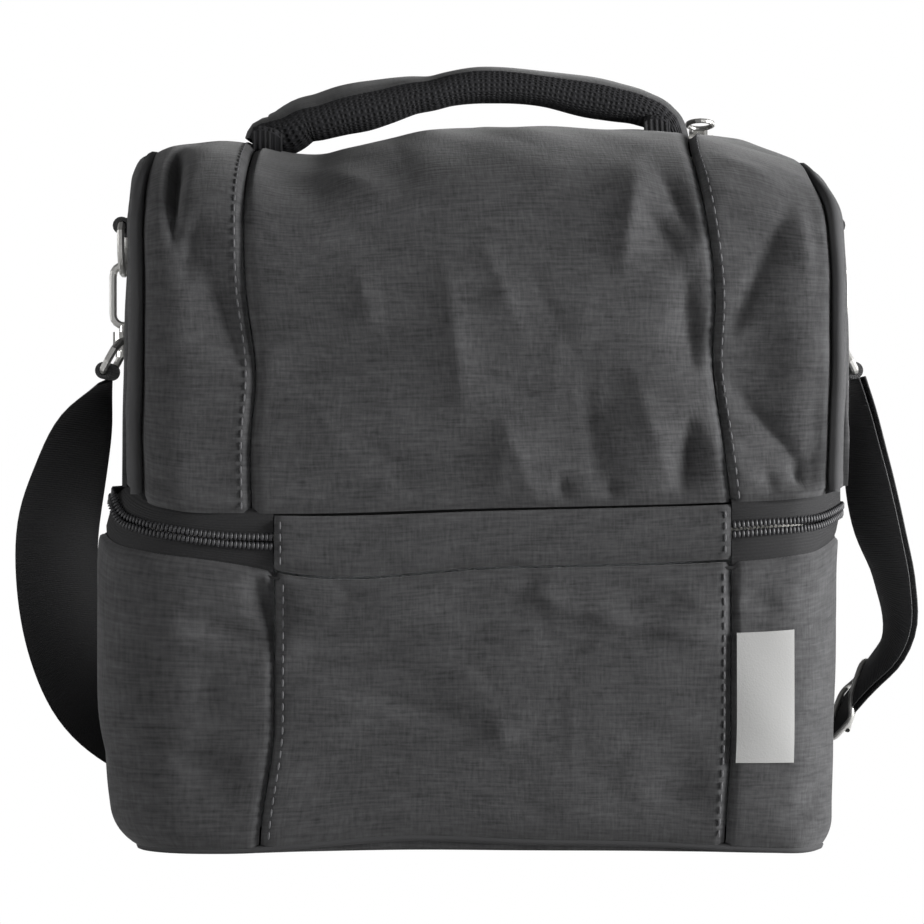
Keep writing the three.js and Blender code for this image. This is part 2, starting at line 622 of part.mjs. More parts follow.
function sliders() {
  const row = COIL_HALF_GAP + COIL_H;
  for (const [side, s] of [['left', -1], ['right', 1]]) {
    const slider = piece(lower, `waist_slider_${side}`, sliderSolid(row), SLIDER_LOOK);
    slider.position.set(s * WAIST_SLIDER_X, HALF_D, WAIST_Z);
    const puller = piece(lower, `waist_puller_${side}`, tabPuller(), SLIDER_LOOK);
    puller.position.set(s * WAIST_SLIDER_X, HALF_D + PIN_Y, WAIST_Z);
  }
  const normal = new THREE.Vector3(0, LID_TOP_Y / HALF_D ** 2, (LID_TOP_Z - SPRING_Z) / DOME_RISE ** 2);
  normal.normalize();
  const slantRow = (row + COIL_PROUD) / (SLANT * (normal.y + normal.z));
  const mount = new THREE.Group();
  mount.position.set(LID_SLIDER_X, LID_TOP_Y, LID_TOP_Z);
  mount.rotation.x = Math.atan2(normal.z, normal.y);
  lid.add(mount);
  piece(mount, 'lid_slider', sliderSolid(slantRow), SLIDER_LOOK);
  const puller = piece(mount, 'lid_puller', ringPuller(), NICKEL_LOOK);
  puller.position.y = PIN_Y;
  puller.rotation.x = Math.PI;
}

// D-ring, its tab, the snap hook on it and the strap ring that swivels under the hook
const RING_X = HALF_W + RING_OUT;
const RING_BAR_Z = RING_BOW_Z + RING_SIDE_H;
const BOW_BOTTOM_Z = RING_BOW_Z - RING_BOW_R;
const HOOK_TOP_Z = BOW_BOTTOM_Z + RING_WIRE_R + GAP + HOOK_WIRE_R;
const HOOK_ARC_HIGH_Z = HOOK_TOP_Z - HOOK_HALF_W;
const HOOK_ARC_LOW_Z = HOOK_ARC_HIGH_Z - HOOK_EYE_L;
const HOOK_BOTTOM_Z = HOOK_ARC_LOW_Z - HOOK_HALF_W;
const BARREL_TOP_Z = HOOK_BOTTOM_Z - HOOK_WIRE_R - BARREL_DROP;
const BARREL_LOW_Z = BARREL_TOP_Z - BARREL_H;
const GATE_TOP_Z = HOOK_ARC_HIGH_Z - HOOK_NOSE - GATE_GAP;
const GATE_LOW_Z = HOOK_ARC_LOW_Z + GATE_FOOT;
const RING_EYE_Z = BARREL_LOW_Z + BARREL_H / 2;

function uprightRod(radius, x, z0, z1) {
  const geometry = new THREE.CylinderGeometry(radius, radius, z1 - z0, ROUND_SIDES);
  geometry.rotateX(Math.PI / 2);
  geometry.translate(x, 0, (z0 + z1) / 2);
  return solidOf(geometry);
}

function crossRod(radius, x, z, half) {
  const geometry = new THREE.CylinderGeometry(radius, radius, 2 * half, ROUND_SIDES);
  geometry.translate(x, 0, z);
  return solidOf(geometry);
}

function dRing(s) {
  const bow = arc(0, RING_BOW_Z, RING_BOW_R, 0, -180, 2 * ARC_STEPS);
  const barHalf = RING_BOW_R - RING_CORNER;
  const outline = [
    [-RING_BOW_R, RING_BAR_Z - RING_CORNER],
    [-barHalf, RING_BAR_Z],
    [barHalf, RING_BAR_Z],
    [RING_BOW_R, RING_BAR_Z - RING_CORNER],
    ...bow,
  ];
  const points = outline.map(([y, z]) => new THREE.Vector3(s * RING_X, y, z));
  return wireGeometry(points, new THREE.Vector3(1, 0, 0), RING_WIRE_R, true);
}

function ringTab(s) {
  const bore = RING_WIRE_R + GAP;
  const loop = bore + TAB_T;
  const x0 = s * (HALF_W + GAP);
  const x1 = x0 + s * TAB_T;
  const plate = boxSolid(
    Math.min(x0, x1), Math.max(x0, x1), -TAB_W / 2, TAB_W / 2, RING_BAR_Z, RING_BAR_Z + TAB_H);
  const outline = [
    [x0, RING_BAR_Z],
    [s * RING_X, RING_BAR_Z - loop],
    [s * (RING_X + loop), RING_BAR_Z],
    [x1, RING_BAR_Z + TAB_H / 2],
    [x0, RING_BAR_Z + TAB_H / 2],
  ];
  const fold = solidOf(acrossGeometry(s > 0 ? outline : outline.reverse(), TAB_W));
  const eye = crossRod(loop, s * RING_X, RING_BAR_Z, TAB_W / 2);
  return plate.add(fold).add(eye).subtract(crossRod(bore, s * RING_X, RING_BAR_Z, TAB_W));
}

function snapHook(s) {
  const high = arc(0, HOOK_ARC_HIGH_Z, HOOK_HALF_W, 180, 0, ARC_STEPS);
  const low = arc(0, HOOK_ARC_LOW_Z, HOOK_HALF_W, 0, -180, ARC_STEPS);
  const outline = [
    [-HOOK_HALF_W, HOOK_ARC_HIGH_Z - HOOK_NOSE],
    ...high,
    ...low,
    [-HOOK_HALF_W, HOOK_ARC_LOW_Z + GATE_FOOT / 2],
  ];
  const points = outline.map(([q, z]) => new THREE.Vector3(s * (RING_X + q), 0, z));
  const eye = solidOf(wireGeometry(points, new THREE.Vector3(0, 1, 0), HOOK_WIRE_R, false));
  const rivetTop = BARREL_LOW_Z - RIVET_CLEAR;
  const stem = uprightRod(STEM_R, s * RING_X, rivetTop - RIVET_H / 2, HOOK_BOTTOM_Z);
  const rivet = uprightRod(RIVET_R, s * RING_X, rivetTop - RIVET_H, rivetTop);
  return eye.add(stem).add(rivet);
}

// Where a point of the strap ring's flat loop lies: y across, drop down the tilted plane.
function ringPoint(s, y, drop) {
  const tilt = THREE.MathUtils.degToRad(STRAP_RING_TILT);
  return new THREE.Vector3(s * (RING_X + drop * Math.sin(tilt)), y, RING_EYE_Z - drop * Math.cos(tilt));
}

// Bends of the strap ring's loop, as shares of its half width and of its drop.
const STRAP_RING_BENDS = [[0.66, 0.08], [0.97, 0.34], [1, 0.68], [0.94, 0.94]];

function strapRing(s) {
  const tilt = THREE.MathUtils.degToRad(STRAP_RING_TILT);
  const root = (BARREL_R + STEM_R + STEM_CLEAR) / 2 + GAP;
  const wide = STRAP_RING_BAR_HALF + 2 * RING_WIRE_R + GAP;
  const half = [
    [root, 0],
    ...STRAP_RING_BENDS.map(([across, down]) => [wide * across, STRAP_RING_DROP * down]),
    [STRAP_RING_BAR_HALF, STRAP_RING_DROP],
  ];
  const outline = [...half, ...half.map(([y, d]) => [-y, d]).reverse()];
  const points = outline.map(([y, d]) => ringPoint(s, y, d));
  const normal = new THREE.Vector3(Math.cos(tilt), 0, s * Math.sin(tilt));
  const loop = solidOf(wireGeometry(points, normal, RING_WIRE_R, false));
  const bore = uprightRod(STEM_R + STEM_CLEAR, s * RING_X, -FAR, FAR);
  return uprightRod(BARREL_R, s * RING_X, BARREL_LOW_Z, BARREL_TOP_Z).add(loop).subtract(bore);
}

function strapHardware() {
  for (const [side, s] of [['left', -1], ['right', 1]]) {
    piece(upper, `d_ring_tab_${side}`, ringTab(s), WEBBING_LOOK);
    piece(upper, `d_ring_${side}`, dRing(s), NICKEL_LOOK);
    piece(strap, `snap_hook_${side}`, snapHook(s), NICKEL_LOOK);
    const gate = uprightRod(GATE_R, s * (RING_X - HOOK_HALF_W), GATE_LOW_Z, GATE_TOP_Z);
    piece(strap, `hook_gate_${side}`, gate, NICKEL_LOOK);
    piece(strap, `strap_ring_${side}`, strapRing(s), NICKEL_LOOK);
  }
}

// Shoulder strap: points of its centre line and the way its width lies at each, left ring to right.
// It leaves the left ring, hangs round the left end, lies along the far side and comes up on the right.
const STRAP_ROUTE = [
  [[-144, 0, 174], [0.05, 1, 0.05]],
  [[-151, 2, 160], [0.6, 0.8, 0.15]],
  [[-158, 6, 139], [0.86, 0.5, 0.15]],
  [[-163.5, 12, 117], [0.97, 0.2, 0.05]],
  [[-164.5, 20, 95], [0.97, 0.15, 0.05]],
  [[-162, 30, 73], [0.94, 0.2, 0.25]],
  [[-156, 43, 53], [0.75, 0.25, 0.6]],
  [[-147, 60, 38], [0.3, 0.45, 0.85]],
  [[-136, 79, 30], [0, 0.25, 1]],
  [[-112, 94, 23], [0, 0, 1]],
  [[-80, 98.5, 18.5], [0, 0, 1]],
  [[-40, 99.5, 17], [0, 0, 1]],
  [[0, 100, 16.6], [0, 0, 1]],
  [[40, 99.5, 17], [0, 0, 1]],
  [[80, 98.5, 18.5], [0, 0, 1]],
  [[114, 93.5, 23], [0, 0, 1]],
  [[131, 78, 24], [0.05, 0.4, 0.9]],
  [[133.5, 62, 27], [0.1, 0.6, 0.8]],
  [[138, 48, 35.2], [0.27, 0.8, 0.52]],
  [[146.5, 37, 47], [0.27, 0.8, 0.52]],
  [[155, 26, 58.8], [0.27, 0.8, 0.52]],
  [[162, 18, 70], [-0.03, 0.96, 0.22]],
  [[164, 12, 82], [-0.22, 0.95, 0.1]],
  [[161.5, 7, 99], [-0.34, 0.94, 0.05]],
  [[155.5, 4, 118], [-0.46, 0.88, 0]],
  [[151, 2, 141], [-0.4, 0.92, 0]],
  [[149, 0, 162], [-0.16, 0.99, 0]],
  [[147, 0, 175.6], [0, 1, 0]],
];
const ADJUSTER_POINT = 19;
const RETURN_TOP = 0.965;
const strapCentre = new THREE.CatmullRomCurve3(STRAP_ROUTE.map(([point]) => new THREE.Vector3(...point)));
const strapLay = new THREE.CatmullRomCurve3(STRAP_ROUTE.map(([, lay]) => new THREE.Vector3(...lay)));

// The webbing at a share t of its route: its face looks towards the bag, and offset moves that way.
function strapStation(t, offset = 0) {
  const tangent = strapCentre.getTangent(t);
  const width = strapLay.getPoint(t);
  width.addScaledVector(tangent, -width.dot(tangent)).normalize();
  const face = tangent.clone().cross(width);
  const point = strapCentre.getPoint(t).addScaledVector(face, offset);
  return { point, tangent, width, face };
}

// Both plies of the doubled stretch share these stations, so that they lie side by side.
const STRAP_STATIONS = Math.ceil(strapCentre.getLength() / STRAP_STEP);

function alongStrap(from, to, offset = 0) {
  const shares = Array.from({ length: STRAP_STATIONS + 1 }, (_, i) => i / STRAP_STATIONS);
  return shares.filter((t) => t >= from && t <= to).map((t) => strapStation(t, offset));
}

function ribbonSolid(stations) {
  const corners = [[-1, -1], [1, -1], [1, 1], [-1, 1]];
  const rings = stations.map(({ point, width, face }) => corners.map(([a, b]) => {
    const corner = point.clone().addScaledVector(width, a * STRAP_W / 2);
    return corner.addScaledVector(face, b * STRAP_T / 2);
  }));
  return solidOf(loftGeometry(rings));
}

// The end of the webbing, folded round the bar of a strap ring and sewn to itself.
function sleeveSolid(s) {
  const bar = ringPoint(s, 0, STRAP_RING_DROP);
  const bore = RING_WIRE_R + GAP;
  const rod = (radius, length) => {
    const geometry = new THREE.CylinderGeometry(radius, radius, length, SLEEVE_SIDES);
    geometry.translate(bar.x, 0, bar.z);
    return solidOf(geometry);
  };
  return rod(bore + STRAP_T, STRAP_W).subtract(rod(bore, STRAP_W + 2 * GAP));
}

function sleeveStation(s) {
  const bar = ringPoint(s, 0, STRAP_RING_DROP);
  const drop = RING_WIRE_R + GAP + STRAP_T / 2;
  const point = new THREE.Vector3(bar.x, 0, bar.z - drop);
  return { point, width: new THREE.Vector3(0, 1, 0), face: new THREE.Vector3(-s, 0, 0) };
}

const ADJUSTER_OFF = STRAP_T / 2 + ADJUSTER_FACE_CLEAR + ADJUSTER_BAR / 2;

// Three-bar slide: the webbing passes inside the outer bars and outside the middle one.
function adjusterGeometry({ point, tangent, width, face }) {
  const rail = STRAP_W / 2 + ADJUSTER_SIDE_CLEAR;
  const half = ADJUSTER_L / 2;
  const bar = ADJUSTER_BAR / 2;
  const low = -ADJUSTER_OFF - bar;
  const high = ADJUSTER_OFF + bar;
  let slide = boxSolid(-bar, bar, -rail, rail, ADJUSTER_OFF - bar, high);
  for (const s of [-1, 1]) {
    const end = s * half;
    slide = slide.add(boxSolid(end - bar, end + bar, -rail, rail, low, -ADJUSTER_OFF + bar));
    const side = s * (rail + bar - GAP);
    slide = slide.add(boxSolid(-half - bar, half + bar, side - bar, side + bar, low, high));
  }
  const geometry = geometryOf(slide);
  geometry.applyMatrix4(new THREE.Matrix4().makeBasis(tangent, width, face).setPosition(point));
  return geometry;
}

function shoulderStrap() {
  const adjusterAt = ADJUSTER_POINT / (STRAP_ROUTE.length - 1);
  const returnFrom = adjusterAt + (ADJUSTER_BAR + 2 * ADJUSTER_FACE_CLEAR) / strapCentre.getLength();
  const main = ribbonSolid([sleeveStation(-1), ...alongStrap(0, 1)]).add(sleeveSolid(-1));
  const doubled = alongStrap(returnFrom, RETURN_TOP, STRAP_T + STRAP_PLY_GAP);
  const back = ribbonSolid([...doubled, sleeveStation(1)]).add(sleeveSolid(1));
  piece(strap, 'strap_webbing', main, WEBBING_LOOK);
  piece(strap, 'strap_return', back, WEBBING_LOOK);
  piece(strap, 'strap_adjuster', adjusterGeometry(strapStation(adjusterAt)), NICKEL_LOOK);
}

lowerCompartment();
waist();
upperCompartment();
handle();
sliders();
strapHardware();
shoulderStrap();

export default bag;
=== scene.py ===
"""The looks of a soft two-compartment insulated lunch bag: cloth, zips, padding, strap and studio."""

from functools import partial
from types import SimpleNamespace

import bpy
import numpy as np
from bpy.props import FloatProperty, FloatVectorProperty, PointerProperty
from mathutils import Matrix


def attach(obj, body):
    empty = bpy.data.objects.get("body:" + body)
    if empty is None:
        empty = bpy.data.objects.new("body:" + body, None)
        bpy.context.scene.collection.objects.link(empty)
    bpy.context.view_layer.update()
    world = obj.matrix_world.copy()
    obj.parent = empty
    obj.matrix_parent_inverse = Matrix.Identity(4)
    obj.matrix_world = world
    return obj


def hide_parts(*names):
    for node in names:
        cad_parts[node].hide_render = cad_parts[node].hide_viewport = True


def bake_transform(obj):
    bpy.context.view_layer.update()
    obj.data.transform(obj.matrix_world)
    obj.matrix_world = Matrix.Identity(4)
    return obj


bl_info = {
    "name": "Insulated Lunch Bag",
    "version": (1, 0, 0),
    "blender": (4, 2, 0),
    "location": "3D View > Sidebar > Lunch Bag",
    "description": "Builds the cloth, zips, padding and strap of an insulated lunch bag",
    "category": "Object",
}

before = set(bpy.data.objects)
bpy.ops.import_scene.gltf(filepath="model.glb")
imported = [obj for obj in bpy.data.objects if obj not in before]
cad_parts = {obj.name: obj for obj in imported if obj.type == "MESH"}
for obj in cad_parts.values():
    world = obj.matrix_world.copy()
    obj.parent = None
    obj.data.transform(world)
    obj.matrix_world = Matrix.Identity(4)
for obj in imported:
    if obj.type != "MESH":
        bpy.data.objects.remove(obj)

MM = 0.001
SIDES = (("left", -1), ("right", 1))
# Half the gap between two sewn panels, and the distance over which a sewn edge rolls in.
SEAM_GAP = 0.35
ROLL_REACH = 1.7
# Folds are this much deeper than their tables say, and soften towards a limit on each compartment.
FOLD_GAIN = 1.6
LOWER_FOLD_LIMIT = 5.5
UPPER_FOLD_LIMIT = 9
# Height of the waist's lower edge, from there to the zip's coil, and the hinge band's depth in metres.
WAIST_EDGE = 101.8
WAIST_HALF = 11.2
# Where the label lies: round the plan, and in height.
LABEL_AROUND = (86, 107.3)
LABEL_HEIGHT = (34, 78.6)

# Folds of the near side, as (x1, z1, x2, z2, half width, height) in millimetres; below zero presses in.
UPPER_FOLDS = (
    (-111.5, 272, -112, 222, 1.6, -6.5),
    (-101.8, 234, -108, 206, 5, -2.4),
    (-102, 219, -84, 173, 9, -4.2),
    (-82, 177, -28, 184, 6, -1.6),
    (-13, 219, -5, 158, 8, 1.9),
    (0, 225, 15, 190, 6, 1.3),
    (9, 154, 7, 130, 8, 1.5),
    (58, 254, 51, 210, 6, 2.6),
    (64, 252, 78, 224, 4, -2.2),
    (58, 237, 73, 217, 5, -2.0),
    (74, 214, 78, 172, 6, -4.2),
    (77, 163, 72.5, 128, 5, -3.6),
    (54, 180, 70, 132, 8, 1.9),
    (38, 172, 44, 130, 7, -1.6),
    (7, 160, 21, 127, 6, 1.9),
    (112, 236, 88, 182, 3, -1.4),
    (89, 173, 120, 139, 3, -1.4),
    (117, 240, 121, 204, 4, 1.2),
    (84, 257, 113, 244, 5, 1.6),
    (29, 139, 31, 127, 2.5, -1.4),
    (48, 138, 47, 127, 2.5, -1.5),
    (103, 141, 107, 130, 3, -1.8),
    (114, 143, 119, 132, 3, -1.8),
    (-60, 250, -30, 240, 5, 0.9),
    (-45, 214, -38, 188, 6, 1.0),
)
# Creases between flat facets of the upper right: (x1, z1, x2, z2, reach to the left, to the right, depth).
UPPER_FACETS = (
    (114, 240, 87, 180, 24, 32, -4.2),
    (88, 174, 121, 137, 18, 34, -5.4),
)
LOWER_FOLDS = (
    (-82, 105, -73.5, 76, 3.4, -4.5),
    (-108, 86, -73, 76.5, 5, -3.0),
    (-74, 77.4, -10, 77.6, 3, -1.5),
    (-74, 68.6, -22, 70, 2.6, -1.8),
    (-52, 62, 8, 45, 5, -1.7),
    (-113, 35, -86, 30, 5, -2.3),
    (-106, 59, -92, 60.5, 4, -1.0),
    (16, 96, 36, 88.5, 3, 1.6),
    (32, 90, 60, 82.5, 3, 1.7),
    (55, 83.5, 89, 79.5, 3, 1.7),
    (70, 95, 90, 88, 3, 1.1),
    (3, 50, 12, 40, 4, 1.0),
    (94, 94, 110, 91, 4, -1.5),
    (114, 21, 126, 22.5, 3, -1.2),
    (108, 15, 125, 17, 3, -1.2),
    (44, 106, 55, 119, 3, 1.2),
    (20, 108, 30, 104.5, 3, 1.0),
    (60, 20, 84, 28, 6, -1.2),
)

# The strap's middle line from the left ring to the right one: x, y and z, then the way its width lies.
STRAP_ROUTE = (
    (-144, 0, 174, 0.05, 1, 0.05),
    (-151, 2, 160, 0.6, 0.8, 0.15),
    (-158, 6, 139, 0.86, 0.5, 0.15),
    (-163.5, 12, 117, 0.97, 0.2, 0.05),
    (-164.5, 20, 95, 0.97, 0.15, 0.05),
    (-162, 30, 73, 0.94, 0.2, 0.25),
    (-156, 43, 53, 0.75, 0.25, 0.6),
    (-147, 60, 38, 0.3, 0.45, 0.85),
    (-136, 79, 30, 0, 0.25, 1),
    (-112, 94, 23, 0, 0, 1),
    (-80, 98.5, 18.5, 0, 0, 1),
    (-40, 99.5, 17, 0, 0, 1),
    (0, 100, 16.6, 0, 0, 1),
    (40, 99.5, 17, 0, 0, 1),
    (80, 98.5, 18.5, 0, 0, 1),
    (114, 93.5, 23, 0, 0, 1),
    (131, 78, 24, 0.05, 0.4, 0.9),
    (133.5, 62, 27, 0.1, 0.6, 0.8),
    (138, 48, 35.2, 0.27, 0.8, 0.52),
    (146.5, 37, 47, 0.27, 0.8, 0.52),
    (155, 26, 58.8, 0.27, 0.8, 0.52),
    (162, 18, 70, -0.03, 0.96, 0.22),
    (164, 12, 82, -0.22, 0.95, 0.1),
    (161.5, 7, 99, -0.34, 0.94, 0.05),
    (155.5, 4, 118, -0.46, 0.88, 0),
    (151, 2, 141, -0.4, 0.92, 0),
    (149, 0, 162, -0.16, 0.99, 0),
    (147, 0, 175.6, 0, 1, 0),
)
# The point of the route that the slide holds.
ADJUSTER_POINT = 19
# Where the bar of each strap ring lies: its distance from the middle and its height.
STRAP_BAR = (143, 177.9)


def length(label, text, default):
    """A length property in metres."""
    return FloatProperty(name=label, description=text, default=default, min=0.0, precision=5, unit="LENGTH")


def colour(label, text, default):
    """A colour property, written as a screen colour and stored as light."""
    return FloatVectorProperty(
        name=label, description=text, default=linear(default), size=3, min=0.0, max=1.0, subtype="COLOR"
    )


def linear(hex_colour):
    """The light of an sRGB colour written as six hexadecimal digits."""
    srgb = np.array([int(hex_colour[i : i + 2], 16) for i in (0, 2, 4)]) / 255
    light = np.where(srgb <= 0.04045, srgb / 12.92, ((srgb + 0.055) / 1.055) ** 2.4)
    return tuple(float(v) for v in light)


class BagSizes(bpy.types.PropertyGroup):
    """Sizes of the bag's soft parts."""

    width: length("Width", "Body width along X", 0.260)
    depth: length("Depth", "Body depth along Y", 0.165)
    corner: length("Corner", "Radius of the upright corners", 0.024)
    base_roll: length("Base roll", "Height over which the wall rolls in at the base", 0.012)
    base_inset: length("Base inset", "How far the wall rolls in at the base", 0.009)
    lower_top: length("Lower top", "Height of the lower compartment's edge", 0.1018)
    waist: length("Waist", "Height of the waist zip", 0.113)
    upper_base: length("Upper base", "Height of the upper compartment's edge", 0.1242)
    spring: length("Dome spring", "Height at which the dome leaves the wall", 0.235)
    apex: length("Apex", "Height of the dome", 0.272)
    dome_edge: length("Dome edge", "Radius of the dome's ends", 0.012)
    seam: length("Seam", "Distance of the panel seams from the middle", 0.084)
    piping_at: length("Piping place", "Distance of the piping from the middle", 0.1245)
    piping: length("Piping radius", "Radius of the piping bead", 0.0023)
    cloth: length("Cloth", "Thickness of the outer cloth", 0.0012)
    padding: length("Padding", "Distance of the liner from the outside", 0.0088)
    lid_half: length("Lid half width", "Half width of the lid's zip", 0.104)
    lid_top: length("Lid top", "Distance of the lid's upper zip behind the middle", 0.037)
    lid_hinge: length("Lid hinge", "Height of the lid's hem", 0.140)
    lid_corner: length("Lid corner", "Radius of the lid zip's corners", 0.010)
    tape: length("Zip tape", "Width of one zip tape", 0.0082)
    tooth_pitch: length("Tooth pitch", "Distance between coil turns", 0.0016)
    stitch: length("Stitch", "Length of a topstitch", 0.0032)
    handle_width: length("Handle width", "Width of the padded handle", 0.033)
    handle_thick: length("Handle thickness", "Thickness of the padded handle at its middle", 0.014)
    strap_width: length("Strap width", "Width of the shoulder strap", 0.032)
    strap_thick: length("Strap thickness", "Thickness of the webbing", 0.0016)


class BagColours(bpy.types.PropertyGroup):
    """Colours of the bag's materials."""

    heather_dark: colour("Dark fibre", "Darker yarn of the heather canvas", "262627")
    heather_light: colour("Light fibre", "Lighter yarn of the heather canvas", "434344")
    webbing: colour("Webbing", "Strap and tab webbing", "3a3a3b")
    tape: colour("Zip tape", "Woven zip tape", "1d1d1e")
    coil: colour("Zip coil", "Zip coil", "2c2c2e")
    thread: colour("Thread", "Topstitch thread", "414143")
    nickel: colour("Nickel", "Plated hooks, rings and sliders", "c6c5c2")
    label: colour("Label", "Woven label", "8a8a89")
    mesh: colour("Spacer mesh", "Underside of the handle", "18181a")
    liner: colour("Liner", "Wipe-clean liner", "9c9fa2")
    piping: colour("Piping", "Cloth over the piping cord", "373738")
    floor: colour("Floor", "Studio floor", "f4f4f4")


def millimetres(context):
    """The bag's sizes in millimetres."""
    sizes = context.scene.bag_sizes
    return SimpleNamespace(**{name: getattr(sizes, name) / MM for name in BagSizes.__annotations__})


def smooth(value, low, high):
    """0 below low, 1 above high, and a cubic between them."""
    t = np.clip((value - low) / (high - low), 0, 1)
    return t * t * (3 - 2 * t)


def curve(value, *pairs):
    """A smooth curve through (value, result) pairs: cubic between neighbours, level outside them."""
    xs, ys = np.array(pairs, float).T
    slope = np.gradient(ys, xs)
    value = np.clip(value, xs[0], xs[-1])
    i = np.clip(np.searchsorted(xs, value) - 1, 0, len(xs) - 2)
    step = xs[i + 1] - xs[i]
    t = (value - xs[i]) / step
    near = ys[i] * (1 + 2 * t) + slope[i] * step * t
    far = ys[i + 1] * (3 - 2 * t) + slope[i + 1] * step * (t - 1)
    return near * (1 - t) ** 2 + far * t * t


def unit(vectors):
    """Vectors at length 1."""
    return vectors / np.maximum(np.linalg.norm(vectors, axis=-1, keepdims=True), 1e-9)


def run_along(line):
    """Distance of each point of a line from its start."""
    return np.r_[0, np.cumsum(np.linalg.norm(np.diff(line, axis=0), axis=1))]


def at_runs(at, runs, vectors):
    """Vectors that are known at the distances runs, straight between them, at the distances at."""
    return np.stack([np.interp(at, runs, vectors[:, i]) for i in range(3)], -1)


def power(wave, exponent):
    """A sine or cosine raised to an exponent with its sign kept: two of them draw a rounded rectangle."""
    return np.sign(wave) * np.abs(wave) ** exponent


def beside(line, x, z):
    """Where points lie by a line: -1 to 1 along it, and off it, above 0 to the left of one that runs down."""
    x1, z1, x2, z2 = line
    dx, dz = x2 - x1, z2 - z1
    run = np.hypot(dx, dz)
    along = ((x - x1) * dx + (z - z1) * dz) / run**2
    return 2 * along - 1, ((x - x1) * dz - (z - z1) * dx) / run


def fold_height(folds, x, z):
    """Sum of folds: each falls off exponentially from its line and fades towards the line's two ends."""
    total = np.zeros(np.broadcast(x, z).shape)
    for *line, half, height in folds:
        along, off = beside(line, x, z)
        fade = np.clip(1 - (along / 1.2) ** 2, 0, 1) ** 2
        total += height * fade * np.exp((1 - np.sqrt(1 + off * off)) / half)
    return total


def facet_depth(facets, x, z):
    """Sum of creases with flat sides: each rises straight from its line to nothing at its reach."""
    total = np.zeros(np.broadcast(x, z).shape)
    for *line, left, right, depth in facets:
        along, off = beside(line, x, z)
        rest = np.clip(1 - np.sqrt(off * off + 2) / np.where(off > 0, left, right), 0, 1)
        total += depth * rest * np.clip(1 - (along / 1.3) ** 4, 0, 1)
    return total


def stray_folds(seed, count, x_range, z_range, reach, depth, halves=(3, 8)):
    """A seeded set of small folds over a rectangle, with half widths from a range."""
    rng = np.random.default_rng(seed)
    x = rng.uniform(*x_range, count)
    z = rng.uniform(*z_range, count)
    turn = rng.uniform(0, np.pi, count)
    run = rng.uniform(0.5, 1, count) * reach
    half = rng.uniform(*halves, count)
    height = rng.uniform(-1, 0.7, count) * depth
    return np.stack([x, z, x + run * np.cos(turn), z + run * np.sin(turn), half, height], 1)


# Small folds: all over the near side, round the rest of the lower wall, over the crown, and on the ends.
UPPER_CREASES = stray_folds(31, 90, (-125, 115), (125, 262), 55, 0.6, (1, 3))
LOWER_CREASES = stray_folds(37, 60, (-130, 75), (8, 98), 50, 0.55, (1, 3))
FAR_FOLDS = stray_folds(5, 34, (110, 700), (5, 100), 45, 1.5)
CROWN_FOLDS = stray_folds(9, 30, (-115, 115), (170, 400), 50, 1.3)
END_FOLDS = {sign: stray_folds(21 + sign, 12, (-60, 60), (130, 225), 45, 1.4) for _, sign in SIDES}


def ripple(u, v):
    """A slow unevenness of the padded wall: three crossed sines, under a millimetre high."""
    slow = 0.35 * np.sin(u / 17 + 1.3) * np.sin(v / 23 + 0.4)
    return slow + 0.2 * np.sin(u / 9.1 - v / 13.7) + 0.12 * np.sin(u / 5.3 + v / 6.1)


def plan(b, p):
    """Point and outward normal of the rounded plan at the distance p from the front's middle, towards +X."""
    flat_x, flat_y, bend = b.width / 2 - b.corner, b.depth / 2 - b.corner, np.pi / 2 * b.corner
    knots = np.cumsum((0, flat_x, bend, 2 * flat_y, bend, 2 * flat_x, bend, 2 * flat_y, bend, flat_x))
    turn = np.deg2rad((-90, -90, 0, 0, 90, 90, 180, 180, 270, 270))
    p = np.mod(p, knots[-1])
    angle = np.interp(p, knots, turn)
    centre_x = np.interp(p, knots, flat_x * np.array((0, 1, 1, 1, 1, -1, -1, -1, -1, 0)))
    centre_y = np.interp(p, knots, flat_y * np.array((-1, -1, -1, 1, 1, 1, 1, -1, -1, -1)))
    normal = np.stack([np.cos(angle), np.sin(angle), np.zeros_like(angle)], -1)
    return np.stack([centre_x, centre_y, np.zeros_like(angle)], -1) + b.corner * normal, normal


def plan_length(b):
    """Distance round the plan."""
    return 4 * (b.width / 2 - b.corner) + 4 * (b.depth / 2 - b.corner) + 2 * np.pi * b.corner


def waist_lift(x, y, z):
    """How far the waist rises along the near side: curves at its lower edge, its coil and its upper hem."""
    edge = curve(
        x, (-130, 17), (-127, 13.5), (-116, 8.6), (-104, 6), (-92, 3.2), (-84, 1.2), (0, 2.4), (84, 5),
        (95, 5.7), (106, 7), (120, 9.3), (126, 12), (130, 15),
    )
    coil = curve(
        x, (-130, 19), (-127, 12), (-120, 7), (-112, 4.4), (-101, 2), (-84, 1), (0, 2.4), (84, 5.6),
        (96, 6.6), (110, 7.5), (121, 9), (130, 12.5),
    )
    hem = curve(
        x, (-130, 11), (-127, 8.5), (-121, 4), (-112, 1.5), (-84, 0.2), (0, 2), (84, 4.2), (107, 5.2),
        (121, 6.8), (126, 8.3), (130, 10),
    )
    share = np.clip((z - WAIST_EDGE) / WAIST_HALF, 0, 2)
    lift = np.where(share < 1, edge + (coil - edge) * share, coil + (hem - coil) * (share - 1))
    return lift * (1 - smooth(y, 10, 70))


